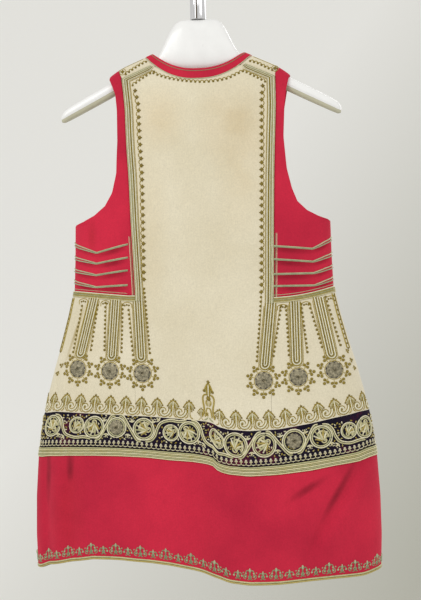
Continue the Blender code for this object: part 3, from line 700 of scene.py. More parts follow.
def velvet():
    finish = Finish("velvet", 0.90, Sheen_Weight=0.10, Sheen_Roughness=0.3, Specular_IOR_Level=0.15)
    finish.set("Sheen Tint", (0.18, 0.05, 0.20, 1.0))
    where = finish.place()
    worn = finish.noise(where, 26.0, 4.0, 0.6)
    colour = finish.ramp(worn, ((0.42, (0.006, 0.004, 0.012)), (0.60, (0.012, 0.005, 0.018)),
                                (0.72, (0.090, 0.008, 0.024))))
    finish.link(colour, "Base Color")
    finish.relief(where, ((1500.0, 3.0, 0.8, 0.5, 0.0004), (160.0, 2.0, 0.6, 0.2, 0.0006)))
    return finish.material


# Colours of metal thread: tone, old gold, green silver
THREAD_COLOURS = (
    (0.00, (0.014, 0.010, 0.006), (0.014, 0.012, 0.008)),
    (0.12, (0.215, 0.150, 0.006), (0.060, 0.075, 0.035)),
    (0.28, (0.380, 0.280, 0.020), (0.140, 0.180, 0.080)),
    (0.45, (0.520, 0.420, 0.130), (0.250, 0.300, 0.150)),
    (0.62, (0.460, 0.480, 0.270), (0.400, 0.470, 0.290)),
    (0.80, (0.760, 0.690, 0.380), (0.620, 0.660, 0.420)),
    (1.00, (0.900, 0.870, 0.680), (0.900, 0.870, 0.680)),
)
GOLD_COLUMN = 1
SILVER_COLUMN = 2
THREAD_ROUGHNESS = 0.42


def thread(name, column, pitch):
    """Metal thread wound round a core; the mesh's tone runs from dark by gold or green silver to cream, with
    painted shade in the grooves between its turns.
    """
    finish = Finish(name, THREAD_ROUGHNESS, 0.20)
    where, flat = finish.place(), finish.place("UV")
    tone = finish.add("Attribute", attribute_name="tone").outputs["Fac"]
    rub = finish.noise(where, 130.0, 3.0, 0.65)
    shifted = finish.math("ADD", tone, finish.math("MULTIPLY", finish.math("SUBTRACT", rub, 0.5), 0.30))
    colour = finish.ramp(shifted, [(row[0], row[column]) for row in THREAD_COLOURS])
    slant = finish.add("Mapping", {"Vector": flat, "Rotation": (0.0, 0.0, 0.6)}).outputs["Vector"]
    turns = finish.waves(slant, 0.314 / pitch, 0.6)
    # Painted shade: the colour is darkened in the grooves between the turns, on the same waves as the bump
    finish.link(finish.shaded(colour, turns, 0.0, (0.62, 0.60, 0.55), 0.6), "Base Color")
    dull = finish.spread(rub, 0.3, 0.7, THREAD_ROUGHNESS - 0.1, THREAD_ROUGHNESS + 0.2)
    finish.link(dull, "Roughness")
    finish.link(finish.bump(turns, 0.6, 0.0003), "Normal")
    return finish.material


def disc_metal():
    finish = Finish("disc_metal", 0.50, 0.55)
    where = finish.place()
    rub = finish.noise(where, 300.0, 4.0, 0.7)
    colour = finish.ramp(rub, ((0.32, (0.085, 0.085, 0.050)), (0.50, (0.245, 0.215, 0.140)),
                               (0.68, (0.46, 0.41, 0.27))))
    finish.link(colour, "Base Color")
    finish.relief(where, ((900.0, 3.0, 0.7, 0.5, 0.0004),))
    return finish.material


def plastic(name, colour, roughness):
    finish = Finish(name, roughness, Coat_Weight=0.3, Coat_Roughness=0.12)
    where = finish.place()
    cloud = finish.noise(where, 30.0, 3.0)
    dim = tuple(0.93 * c for c in colour)
    finish.link(finish.ramp(cloud, ((0.3, dim), (0.7, colour))), "Base Color")
    smudge = finish.spread(finish.noise(where, 70.0, 4.0), 0.0, 1.0, roughness - 0.06, roughness + 0.10)
    finish.link(smudge, "Roughness")
    finish.relief(where, ((240.0, 2.0, 0.6, 0.06, 0.0003),))
    return finish.material


def chrome():
    finish = Finish("chrome", 0.12, 1.0)
    where = finish.place()
    drawn = finish.noise(finish.stretched(where, (1.0, 1.0, 0.05)), 500.0, 2.0)
    finish.link(finish.ramp(drawn, ((0.3, (0.66, 0.66, 0.67)), (0.7, (0.80, 0.80, 0.81)))), "Base Color")
    finish.link(finish.spread(finish.noise(where, 90.0, 3.0), 0.0, 1.0, 0.08, 0.20), "Roughness")
    return finish.material


# Stains, and painted shade in creases and folds: centre, size, lean, tint, strength
CREAM_STAINS_AND_SHADE = (
    ((-0.062, -0.040, -0.215), (0.060, 0.080, 0.060), 0.0, (0.90, 0.80, 0.66), 0.9),
    ((0.058, -0.040, -0.225), (0.070, 0.080, 0.080), 0.0, (0.88, 0.78, 0.64), 0.9),
    ((0.072, -0.050, -0.300), (0.050, 0.080, 0.110), 0.0, (0.92, 0.84, 0.72), 0.7),
    ((-0.075, -0.050, -0.390), (0.035, 0.080, 0.150), 0.0, (0.93, 0.86, 0.75), 0.7),
    # Painted shade in the fold beside the left tabs
    ((-0.180, -0.070, -0.560), (0.050, 0.090, 0.070), 0.0, (0.95, 0.90, 0.82), 0.6),
    ((-0.197, -0.070, -0.548), (0.0045, 0.090, 0.062), 0.37, (0.58, 0.50, 0.26), 2.0),
    ((-0.188, -0.070, -0.556), (0.0140, 0.090, 0.070), 0.37, (0.90, 0.86, 0.70), 1.3),
)
RED_STAINS_AND_SHADE = (
    ((-0.1675, -0.060, -0.395), (0.0100, 0.090, 0.034), 0.0, (0.74, 0.86, 0.60), 1.5),
    # Painted shade in the flounce's folds: narrow dark streaks along them and broader, fainter shade round
    # them
    ((0.208, -0.090, -0.783), (0.0070, 0.120, 0.062), 0.54, (0.52, 0.46, 0.50), 1.9),
    ((0.216, -0.090, -0.778), (0.0200, 0.120, 0.060), 0.54, (0.90, 0.85, 0.88), 1.2),
    ((0.162, -0.090, -0.780), (0.0075, 0.120, 0.042), 1.05, (0.62, 0.56, 0.60), 1.8),
    ((-0.241, -0.090, -0.765), (0.0070, 0.120, 0.055), 0.04, (0.48, 0.55, 0.48), 2.0),
    ((-0.202, -0.090, -0.745), (0.0080, 0.120, 0.034), 0.05, (0.52, 0.55, 0.52), 2.0),
    ((-0.205, -0.090, -0.815), (0.0380, 0.120, 0.095), 0.05, (0.86, 0.92, 0.74), 1.4),
    ((0.030, -0.090, -0.860), (0.0500, 0.120, 0.060), 0.30, (0.92, 0.88, 0.90), 1.2),
)
PIPING_SHADE = (0.60, 0.54, 0.54)
PIPING_SHADE_REACH = 0.0052


def piping_shades():
    """Rows like those above for the shade under each piping cord, on both sides of its point."""
    rows = []
    for sign, cords in CORDS.items():
        inner_x, middle_x, outer_x = CORD_X[sign]
        for seam_z, middle_z, side_z in cords:
            for start_x, end_x, start_z, end_z in ((inner_x, middle_x, seam_z, middle_z),
                                                   (middle_x, outer_x, middle_z, side_z)):
                run, rise = end_x - start_x, end_z - start_z
                level = 0.5 * (start_z + end_z) - PIPING_SHADE_REACH
                centre = (0.5 * sign * (start_x + end_x), -0.060, level)
                size = (0.60 * run, 0.090, PIPING_SHADE_REACH)
                rows.append((centre, size, -sign * math.atan2(rise, run), PIPING_SHADE, 1.5))
    return tuple(rows)


CREAM = wool("cream_wool", (0.810, 0.742, 0.560), (0.745, 0.672, 0.485), (1.0, 0.95, 0.85), CREAM_STAINS_AND_SHADE)
RED = wool("red_wool", (0.665, 0.020, 0.056), (0.500, 0.012, 0.042), (0.90, 0.10, 0.16),
           RED_STAINS_AND_SHADE + piping_shades())
VELVET = velvet()
CLOTHS = {"cream_wool": CREAM, "red_wool": RED, "velvet": VELVET}
GOLD = thread("gold_thread", GOLD_COLUMN, 0.0011)
BRAID = thread("gold_braid", GOLD_COLUMN, 0.0016)
SILVER = thread("silver_thread", SILVER_COLUMN, 0.0014)
DISC = disc_metal()
DARK_THREAD = plastic("dark_thread", (0.040, 0.028, 0.018), 0.70)
WHITE = plastic("white_plastic", (0.86, 0.86, 0.84), 0.28)
# Painted shade: the underside of the hanger's arms, coloured beige-grey for the shade under them
UNDERSIDE_PAINTED_SHADE = plastic("hanger_underside_painted_shade", (0.50, 0.48, 0.34), 0.50)
CHROME = chrome()
SLOT_SHADE = plastic("rod_slot_painted_shade", (0.070, 0.048, 0.020), 0.60)


# Cloth

# Rough widths and heights of the pieces, which set how many lines their grids have
BACK_WIDTH = 0.225
BACK_HEIGHT = 0.540
FRONT_WIDTH = 0.095
SIDE_WIDTH = 0.060
SIDE_HEIGHT = 0.105
SKIRT_WIDTH = 0.155
SKIRT_HEIGHT = 0.180
RING_WIDTH = 0.600
BAND_HEIGHT = 0.052
FLOUNCE_HEIGHT = 0.165
VELVET_LIFT = 0.0004
FLOUNCE_FOOT_RISE = 0.0030
BINDING_LIFT = 0.0006
BINDING = 0.0024
CREST_GAP = 1e-5


def back_panel():
    def foot(x):
        return row_height("band_top", x, -1) + SEAM

    def top(x):
        return np.minimum(neck_low(x) - SEAM, crest(x) - SHOULDER_SEAM_DROP - SEAM)

    def left(z):
        return turn_of(back_shift(z) + SEAM - side_seam(z), z)

    def right(z):
        return turn_of(back_shift(z) - SEAM + side_seam(z), z)

    x, z = settle(left, right, foot, top, edge_steps(BACK_WIDTH), edge_steps(BACK_HEIGHT))
    cloth("back_panel", [(x, z, -1)], "cream_wool", edge_drop=PRESSED_DROP)


def front(label, sign):
    """A front runs from the band up over the shoulder to its seam on the back."""

    def inner(z):
        return turn_of(sign * (front_edge(z, sign, BINDING_WIDTH) + SEAM), z)

    def inner_back(z):
        return turn_of(sign * (neck_low_x(z, sign) + SEAM), z)

    def outer(z):
        return turn_of(sign * (side_seam(z, 1) - SEAM), z)

    def foot(x):
        return np.full_like(x, FRONT_ROWS["band_top"] + SEAM)

    def chest(x):
        return crest(x) - SHOULDER_RADIUS

    across = edge_steps(FRONT_WIDTH)
    stretches = [(*settle(inner, outer, foot, chest, across, edge_steps(BACK_HEIGHT)[:-3]), 1)]
    angles = np.linspace(0.06, 1.0, 7) * math.pi / 2.0
    drops = SHOULDER_RADIUS * (1.0 - np.cos(angles))
    back_drops = np.append(drops, (0.5 * (SHOULDER_RADIUS + SHOULDER_SEAM_DROP), SHOULDER_SEAM_DROP))
    for side, edge, chosen in ((1, inner, drops[-2::-1]), (-1, inner_back, back_drops)):
        levels = [lambda x, d=d: crest(x) - d for d in chosen]
        stretches.append((*stack_rows(edge, outer, levels, across), side))
    cloth(f"front_{label}", stretches, "cream_wool")


def side_turns(sign, side, inset):
    def seam(z):
        shift = back_shift(z) if side < 0 else 0.0
        return turn_of(sign * (side_seam(z, side) + inset) + shift, z)

    def edge(z):
        return np.full_like(z, sign * (0.5 - SEAM))

    return seam, edge


def red_side(label, sign, side):
    """A red side: from the waist to the underarm, and the strip that edges the armhole up to the crest."""
    seam, edge = side_turns(sign, side, SEAM)

    def armhole(z):
        return np.where(z <= UNDERARM_Z, edge(z), turn_of(armhole_x(z, sign, side), z))

    levels = [lambda x, t=t: mix(waist_height(x) + SEAM, np.full_like(x, UNDERARM_Z), t)
              for t in edge_steps(SIDE_HEIGHT, 0.0022)[:-3]]
    heights = np.append(np.linspace(UNDERARM_Z + 0.001, -0.350, 13), np.linspace(-0.345, -0.175, 38))
    levels += [lambda x, z=z: np.full_like(x, z) for z in heights]
    angles = np.linspace(0.03, 1.0, 8) * math.pi / 2.0
    levels += [lambda x, d=d: crest(x) - d for d in SHOULDER_RADIUS * (1.0 - np.cos(angles[::-1]))]
    x, z = stack_rows(seam, armhole, levels, edge_steps(SIDE_WIDTH, 0.0040))
    cloth(f"side_{FACES[side]}_{label}", [(x, z, side)], "red_wool")


def skirt_side(label, sign, side):
    seam, edge = side_turns(sign, side, SEAM)

    def foot(x):
        return row_height("band_top", x, side) + SEAM

    def top(x):
        return skirt_top(x) - SEAM

    x, z = settle(seam, edge, foot, top, edge_steps(SKIRT_WIDTH), edge_steps(SKIRT_HEIGHT))
    name = f"skirt_{FACES[side]}_{label}"
    cloth(name, [(x, z, side)], "cream_wool", edge_drop=PRESSED_DROP)


def side_of(part):
    """The side of a part of the skirt, which is 0 for the back, or -1 or 1 for a front half."""
    return 1 if part else -1


def ring(part, top_name, foot_name, along, foot_rise=0.0, top_rise=0.0):
    """A stretch of a row round the skirt."""
    side = side_of(part)

    def left(z):
        return np.full_like(z, part * (0.5 - SEAM) if part else SEAM - 0.5)

    def right(z):
        return turn_of(part * FRONT_EDGE_X + 0.0 * z, z) if part else np.full_like(z, 0.5 - SEAM)

    def foot(x):
        return row_height(foot_name, x, side) + foot_rise

    def top(x):
        return row_height(top_name, x, side) + top_rise

    across = edge_steps(0.5 * RING_WIDTH if part else RING_WIDTH)
    x, z = settle(left, right, foot, top, across, along)
    return x, z, side


def skirt_rows(label, part):
    """The velvet band, the corded braid under it, the flounce and its hem cord."""
    band = ring(part, "band_top", "band_foot", edge_steps(BAND_HEIGHT))
    cloth(f"velvet_band_{label}", [band], "velvet", lift=VELVET_LIFT)
    flounce = ring(part, "braid_foot", "hem", edge_steps(FLOUNCE_HEIGHT, 0.0055), FLOUNCE_FOOT_RISE)
    cloth(f"flounce_{label}", [flounce], "red_wool")
    braid = ring(part, "band_foot", "braid_foot", cord_steps(BRAID_TONES))
    obj = corded(f"gold_braid_{label}_cords", braid, BRAID_TONES, 0.0004, 0.0013)
    stand_for(obj, "gold_braid", f"gold_braid_{label}")
    cord = ring(part, "hem", "hem", cord_steps(HEM_CORD_TONES, 8), top_rise=HEM_CORD_HEIGHT)
    obj = corded(f"hem_cord_{label}_cords", cord, HEM_CORD_TONES, -0.0005, 0.0016, 0.0030)
    stand_for(obj, "silver_cord", f"hem_cord_{label}")


def binding(node, side, rows):
    """A strip along an edge of the neck; each of its rows is x and z from end to end."""
    x, z = (np.array(part) for part in zip(*rows))
    stretch = (x, np.minimum(z, crest(x) - CREST_GAP), side)
    cloth(node, [stretch], "red_wool", BINDING_LIFT, BINDING)


def bindings():
    low_x = NECK_X + BINDING_WIDTH
    across = even_shares(9)
    shares = np.linspace(-1.0, 1.0, 101)
    shares = np.sign(shares) * (1.0 - (1.0 - np.abs(shares)) ** 1.35)
    high_z, low_z = neck_high(shares * NECK_X), neck_low(shares * low_x)
    rows = [(shares * mix(NECK_X, low_x, t), mix(high_z, low_z, t)) for t in across]
    binding("binding_back", -1, rows)
    steps = even_shares(40) ** 1.6
    for label, sign in (("left", -1), ("right", 1)):
        rows = []
        for inset in across * BINDING_WIDTH:
            start_z, end_z = crest(sign * (NECK_X + inset)), FRONT_NECK_Z - inset
            straight = np.linspace(end_z, FRONT_ROWS["band_top"] + SEAM, 80)[1:]
            z = np.concatenate((mix(start_z, end_z, steps), straight))
            rows.append((sign * front_edge(z, sign, inset), z))
        binding(f"binding_front_{label}", 1, rows)


# Braids: flat bundles of cords, each with its own tone, with painted shade in the valleys between them

BRAID_TONES = (0.84, 0.62, 0.86, 0.58, 0.82, 0.66)
# The lower cord of the hem cord is toned darker than the upper one, as painted shade on its underside
HEM_CORD_TONES = (0.45, 0.70)
WAIST_BRAID_TONES = (0.80, 0.46, 0.62, 0.42, 1.00)
VALLEY_PAINTED_SHADE = 0.60
VALLEY_RISE = 0.20


def cord_steps(tones, steps=6):
    """Shares across a bundle, with a few steps over each of its cords."""
    return even_shares(len(tones) * steps + 1)


def cord_profile(place):
    """Rise of a row of round cords at a place across, counted in cords."""
    within = 2.0 * (place - np.floor(np.minimum(place, np.ceil(place.max()) - 1e-6))) - 1.0
    return np.sqrt(np.clip(1.0 - within**2, 0.0, 1.0))


def corded(name, grid, tones, base, height, back=WOOL, axis=0):
    """A closed wall whose outer face is a row of cords, side by side along one axis of the grid."""
    x, z, side = grid
    place = even_shares(x.shape[axis]) * len(tones)
    rise = cord_profile(place)
    kind = np.minimum(place.astype(int), len(tones) - 1)
    # Painted shade: the tone drops where two cords meet, in the valley between them
    tone = np.array(tones)[kind] - VALLEY_PAINTED_SHADE * (rise < VALLEY_RISE)
    if axis == 0:
        rise, tone = rise[:, None], tone[:, None]
    points, outs = on_cloth(x, z, side)
    lift = np.broadcast_to(base + height * rise, x.shape)
    places = (lengths_along(points, 1 - axis), lengths_along(points, axis))
    return add_wall(name, points, outs, lift, back, places, BRAID, np.broadcast_to(tone, x.shape))


def waist_braid(label, sign):
    """The corded braid over the waist seam, from the back seam round the side to the front seam."""
    for side, face in FACES.items():
        seam, edge = side_turns(sign, side, 0.0)
        x, z = settle(seam, edge, skirt_top, waist_height, even_shares(60), cord_steps(WAIST_BRAID_TONES))
        obj = corded(f"waist_braid_{face}_{label}_cords", (x, z, side), WAIST_BRAID_TONES, 0.0003, 0.0012)
        stand_for(obj, "gold_braid", f"waist_braid_{label}")


LONG_BRAID_WIDTH = 0.011
LONG_BRAID_START_X = 0.0743
LONG_BRAID_END_LEAN = 0.0049
LONG_BRAID_END_HEIGHT = 0.0056
LONG_BRAID_CORNER_Z = -0.152
LONG_BRAID_DROP = 0.019
LONG_BRAID_HEIGHT = 0.0085
LONG_BRAID_TONES = (0.68, 1.02, 0.56, 0.96, 0.20, 1.00)


def long_braid(label, sign):
    """Braid over the shoulder seam, round a square corner and down the side seam to the waist."""
    width = LONG_BRAID_WIDTH

    def line(x):
        return float(crest(sign * x)) - LONG_BRAID_DROP

    outer, inner = [], []
    start_x = LONG_BRAID_START_X
    corner_x = float(side_seam(LONG_BRAID_CORNER_Z)) - 2.0 * SEAM
    for t in even_shares(20):
        x = mix(start_x, corner_x, t)
        low_x = mix(start_x - LONG_BRAID_END_LEAN, corner_x - width, t)
        height = mix(LONG_BRAID_END_HEIGHT, LONG_BRAID_HEIGHT, smooth(t / 0.15))
        outer.append((x, line(x)))
        inner.append((low_x, line(low_x) - height))
    foot_z = float(skirt_top(sign * side_seam(WAIST_Z)))
    for t in even_shares(131)[1:]:
        z = mix(line(corner_x), foot_z, t)
        low = mix(line(corner_x - width) - LONG_BRAID_HEIGHT, foot_z, t)
        outer.append((side_seam(z) - 2.0 * SEAM, z))
        inner.append((side_seam(low) - 2.0 * SEAM - width, low))
    outer, inner = np.array(outer, dtype=float), np.array(inner, dtype=float)
    grid = outer[:, None, :] + (inner - outer)[:, None, :] * cord_steps(LONG_BRAID_TONES)[None, :, None]
    x, z = sign * grid[..., 0] + back_shift(grid[..., 1]), grid[..., 1]
    obj = corded(f"long_braid_{label}_cords", (x, z, -1), LONG_BRAID_TONES, 0.0006, 0.0014, -0.0003, axis=1)
    stand_for(obj, "gold_braid", f"long_braid_{label}")


# Threads, dots and leaves that are sewn on

MM = 0.001
PROFILE = np.array(((-0.50, -0.30), (-0.33, 0.62), (0.00, 1.00), (0.33, 0.62), (0.50, -0.30)))
DOT_SIDES = 8
DOT_RINGS = ((1.00, -0.35), (0.90, 0.45), (0.50, 0.88))
DOT_TONE = 0.20
DOT_HEIGHT = 0.6
LOBE_DEPTH = 0.26
THREAD_PITCH = 0.0017
ROW_STRETCH = 1.15
ROW_TURNS = np.linspace(-0.4992, 0.4992, 1401)
ROW_ROUNDS = 12


class Row:
    """A level of the cloth, where a place is a distance along it and a rise above it."""

    def __init__(self, side, height, low_x=-1.0, high_x=1.0):
        self.side, self.height = side, height
        x, z = self.spots_at(ROW_TURNS, 0.0)
        steps = np.linalg.norm(np.diff(on_cloth(x, z, side)[0], axis=0), axis=1)
        run = np.concatenate(([0.0], np.cumsum(np.maximum(np.diff(x), steps / ROW_STRETCH))))
        self.run = run - np.interp(0.0, x, run)
        self.x = x
        self.low, self.high = max(self.run[0], low_x), min(self.run[-1], high_x)

    def along(self, x):
        """The distance along the row of a place across the jacket."""
        return float(np.interp(x, self.x, self.run))

    def spots_at(self, turns, rise):
        z = np.full_like(turns, WAIST_Z)
        for _ in range(ROW_ROUNDS):
            x = x_of(turns, z)
            z = self.height(x) + rise
        return x, z

    def spots(self, places):
        turns = np.interp(places[:, 0], self.run, ROW_TURNS)
        return np.stack(self.spots_at(turns, places[:, 1]), axis=-1)

    def inside(self, places):
        """The stretch of places that lies on the row."""
        on = (places[:, 0] > self.low) & (places[:, 0] < self.high)
        if on.all():
            return places
        starts = np.flatnonzero(np.diff(np.concatenate(([0], on.astype(int)))) == 1)
        stops = np.flatnonzero(np.diff(np.concatenate((on.astype(int), [0]))) == -1)
        if not len(starts):
            return places[:0]
        longest = int(np.argmax(stops - starts))
        return places[starts[longest] : stops[longest] + 1]


def resample(points, pitch):
    """Even places along a run, and their distances along it."""
    points = np.asarray(points, dtype=float)
    run = np.concatenate(([0.0], np.cumsum(np.linalg.norm(np.diff(points, axis=0), axis=1))))
    count = max(int(math.ceil(run[-1] / pitch)), 3)
    at = np.linspace(0.0, run[-1], count + 1)
    return np.stack([np.interp(at, run, points[:, k]) for k in (0, 1)], axis=-1), at


class Trim:
    """Collects threads and dots that lie on one side of the jacket and become one mesh."""

    def __init__(self, side, lift=0.0):
        self.side, self.lift = side, lift
        self.rows, self.lines, self.dots = [None], [], []

    def row_number(self, row):
        if row not in self.rows:
            self.rows.append(row)
        return self.rows.index(row)

    def line(self, points, width, tone, shape="round", height=0.5, row=None):
        """A thread along places; its shape is round at both ends, or a leaf that tapers."""
        places, at = resample(points, THREAD_PITCH)
        if row is not None:
            places = row.inside(places)
            at = at[: len(places)]
        if len(places) < 3:
            return
        share = at / at[-1]
        if shape == "leaf":
            size = 0.15 + 0.85 * np.sin(math.pi * share) ** 0.8
        else:
            near = np.minimum(at, at[-1] - at) / (0.5 * width)
            size = 0.45 + 0.55 * np.clip(near, 0.0, 1.0)
        rise = height * width * (0.4 + 0.6 * size)
        self.lines.append((places, at, width * size, rise, tone, self.row_number(row)))

    def dot(self, along, rise, radius, tone, lobes=0, row=None):
        if row is None or row.low < along < row.high:
            self.dots.append((along, rise, radius, tone, lobes, self.row_number(row)))

    def spots(self, places, numbers):
        """x and z of places, each given along the row of its number."""
        spots = places.copy()
        for number, row in enumerate(self.rows):
            chosen = numbers == number
            if row is not None and chosen.any():
                spots[chosen] = row.spots(places[chosen])
        return spots[:, 0], spots[:, 1]

    def build(self, name, finish, slot, *nodes):
        self.points, self.faces, self.uvs, self.tones, self.base = [], [], [], [], 0
        if self.lines:
            self.add_lines()
        if self.dots:
            self.add_dots()
        uvs, tones = np.concatenate(self.uvs), np.concatenate(self.tones)
        obj = add_mesh(name, np.concatenate(self.points), self.faces, [finish], uvs, tones)
        stand_for(obj, slot, *nodes)

    def add_lines(self):
        counts = np.array([len(line[0]) for line in self.lines])
        places, along, widths, heights = (np.concatenate([line[k] for line in self.lines]) for k in range(4))
        tone, numbers = (np.repeat([line[k] for line in self.lines], counts) for k in (4, 5))
        last = np.cumsum(counts) - 1
        first = last - counts + 1
        x, z = self.spots(places, numbers)
        spots, out = on_cloth(x, z, self.side, np.full_like(x, self.lift))
        after, before = np.arange(len(spots)) + 1, np.arange(len(spots)) - 1
        after[last], before[first] = last, first
        across = np.cross(spots[after] - spots[before], out)
        across /= np.maximum(np.linalg.norm(across, axis=1, keepdims=True), 1e-12)
        sides = len(PROFILE)
        wide, high = widths[:, None] * PROFILE[:, 0], heights[:, None] * PROFILE[:, 1]
        tube = spots[:, None, :] + across[:, None, :] * wide[..., None] + out[:, None, :] * high[..., None]
        self.points.append(tube.reshape(-1, 3))
        self.uvs.append(np.stack((np.repeat(along, sides), wide.ravel()), axis=-1))
        self.tones.append(np.repeat(tone, sides))
        start = np.setdiff1d(np.arange(len(spots)), last) * sides
        for i, k in around(sides):
            quads = np.stack((start + i, start + sides + i, start + sides + k, start + k), axis=-1)
            self.faces.extend(quads.tolist())
        caps = np.arange(sides)
        self.faces.extend((first[:, None] * sides + caps).tolist())
        self.faces.extend((last[:, None] * sides + caps[::-1]).tolist())
        self.base = len(spots) * sides

    def add_dots(self):
        angles = ring_angles(DOT_SIDES)
        along, rise, radius, tone, lobes, numbers = np.array(self.dots, dtype=float).T[..., None]
        swing = 1.0 + LOBE_DEPTH * np.cos(lobes * (angles - math.pi / 2.0)) * (lobes > 0)
        blocks = []
        for share, level in DOT_RINGS + ((0.0, 1.0),):
            turns = angles if share else angles[:1]
            reach = radius * share * (swing if share else 1.0)
            places = np.stack((along + reach * np.cos(turns), rise + reach * np.sin(turns)), axis=-1)
            x, z = self.spots(places.reshape(-1, 2), np.repeat(numbers.ravel(), len(turns)))
            lift = self.lift + np.repeat((radius * DOT_HEIGHT * level).ravel(), len(turns))
            blocks.append(on_cloth(x, z, self.side, lift)[0].reshape(len(along), len(turns), 3))
        block = np.concatenate(blocks, axis=1)
        size = block.shape[1]
        self.points.append(block.reshape(-1, 3))
        self.uvs.append(np.zeros((len(along) * size, 2)))
        self.tones.append(np.repeat(tone.ravel(), size))
        starts = (self.base + np.arange(len(along)) * size)[:, None]
        way = 1 if self.side < 0 else -1
        for i, k in around(DOT_SIDES):
            for low in (0, DOT_SIDES):
                quad = (low + i, low + k, low + DOT_SIDES + k, low + DOT_SIDES + i)[::way]
                self.faces.extend((starts + np.array(quad)).tolist())
            top = (2 * DOT_SIDES + i, 2 * DOT_SIDES + k, 3 * DOT_SIDES)[::way]
            self.faces.extend((starts + np.array(top)).tolist())
        self.faces.extend((starts + np.arange(DOT_SIDES)[::-way]).tolist())


def curve(points, steps=6):
    """A smooth run through a few points."""
    points = np.asarray(points, dtype=float)
    if len(points) < 3:
        return points
    ends = np.concatenate(([2 * points[0] - points[1]], points, [2 * points[-1] - points[-2]]))
    run = []
    for k in range(len(points) - 1):
        p0, p1, p2, p3 = ends[k : k + 4]
        t = np.linspace(0.0, 1.0, steps, endpoint=False)[:, None]
        bend = (2 * p0 - 5 * p1 + 4 * p2 - p3) * t**2 + (3 * p1 - p0 - 3 * p2 + p3) * t**3
        run.append(0.5 * (2 * p1 + (p2 - p0) * t + bend))
    return np.concatenate(run + [points[-1:]])


def beside(points, away):
    """A run that keeps an even distance from the smooth run through some points."""
    run = curve(points)
    way = np.gradient(run, axis=0)
    way /= np.linalg.norm(way, axis=1, keepdims=True)
    return run + away * np.stack((-way[:, 1], way[:, 0]), axis=-1)


def spiral(centre, start, end, from_turn, to_turn, steps=30):
    """A spiral from one radius and one angle, in turns, to another."""
    t = even_shares(steps)
    angle = TAU * mix(from_turn, to_turn, t)
    reach = mix(start, end, t)
    return np.stack((centre[0] + reach * np.cos(angle), centre[1] + reach * np.sin(angle)), axis=-1)


class Pen:
    """Draws a motif: places are mm from its foot, along and up, widths mm too, and tones run up to cream."""

    def __init__(self, trim, row=None, at=0.0, rise=0.0, size=1.0, turn=0.0, weight=1.0):
        self.trim, self.row, self.at, self.rise = trim, row, at, rise
        self.size, self.turn, self.weight = size, turn, weight

    def places(self, points):
        u, v = np.asarray(points, dtype=float).T * MM * self.size
        cos, sin = math.cos(self.turn), math.sin(self.turn)
        return np.stack((self.at + u * cos - v * sin, self.rise + u * sin + v * cos), axis=-1)

    def line(self, points, width, tone, shape="round"):
        width *= MM * self.size * self.weight
        self.trim.line(self.places(curve(points)), width, tone, shape, row=self.row)

    def pair(self, points, width, tone, shape="round"):
        """The same line on both sides of the motif's middle."""
        self.line(points, width, tone, shape)
        self.line([(-u, v) for u, v in points], width, tone, shape)

    def dot(self, u, v, radius, tone, lobes=0):
        (along, rise), = self.places([(u, v)])
        radius *= MM * self.size * self.weight
        self.trim.dot(along, rise, radius, tone, lobes=lobes, row=self.row)

    def dots(self, u, v, radius, tone):
        """The same dot on both sides of the motif's middle."""
        self.dot(u, v, radius, tone)
        self.dot(-u, v, radius, tone)


def scallops(trim, route, pitch, bulge, dot=0.0021, width=0.0011, tone=0.36, lobes=0):
    """Dots along a route, and between each two an arc that bulges to the route's left."""
    run = np.asarray(route, dtype=float)
    run = run if len(run) < 3 else curve(run)
    length = np.linalg.norm(np.diff(run, axis=0), axis=1).sum()
    count = max(round(length / pitch), 1)
    fine = resample(run, length / (count * 12))[0]
    spots = fine[:: max((len(fine) - 1) // count, 1)]
    for x, z in spots:
        trim.dot(x, z, dot, DOT_TONE, lobes=lobes)
    share = even_shares(7)[:, None]
    for a, b in zip(spots[:-1], spots[1:]):
        left = np.array((-(b - a)[1], (b - a)[0])) / np.linalg.norm(b - a)
        arc = a + (b - a) * share + left * (bulge * np.sin(math.pi * share))
        trim.line(arc, width, tone)


# Braided pieces in their own threads

# Cords of a tab: distance from its middle and width in mm, tone
TAB_CORDS = ((7.8, 1.6, 0.28), (5.9, 2.4, 1.00), (3.8, 1.9, 0.18), (1.8, 2.2, 0.98), (0.0, 1.4, 0.24))
TAB_LINE_REACH = 0.0098
TAB_LIFT = 0.0006


def on_tab(sign, top_x, foot_x, top_z, foot_z, places):
    """Places beside the middle of a leaning tab, as x and z on the back."""
    line = []
    for across, z in places:
        middle = mix(top_x, foot_x, (z - top_z) / (foot_z - top_z))
        line.append((sign * (middle + across) + float(back_shift(z)), z))
    return line


def tab(label, number, sign, top_x, foot_x, foot_z):
    """A tongue of cords laid one inside the other, bent round at its foot."""
    trim = Trim(-1, TAB_LIFT)
    top_z = float(skirt_top(sign * top_x)) + TAB_LIFT
    round_z = foot_z + 0.5 * TAB_WIDTH
    angles = np.linspace(0.1, 3.04, 15)
    for half, width, tone in TAB_CORDS:
        half *= MM
        places = [(-half, top_z), (-half, round_z)]
        if half:
            places += [(-half * math.cos(a), round_z - half * math.sin(a)) for a in angles]
            places += [(half, round_z), (half, top_z)]
        line = on_tab(sign, top_x, foot_x, top_z, foot_z, places)
        trim.line(line, width * MM, tone, height=0.55)
    trim.build(f"tab_{label}_{number}_cords", BRAID, "gold_braid", f"tab_{label}_{number}")


ROSETTE_LINE_RADIUS = 0.0139
TREFOIL_REACH = 0.0176
ROSETTE_LOBES = 9
ROSETTE_SECTORS = 72
ROSETTE_RINGS = 14
EDGE_LOBE = 0.035
DOME_HEIGHT = 0.0018
DISC_THREAD_HEIGHT = 0.00022
NICK_SECTORS = 3
NICK_RINGS = 3


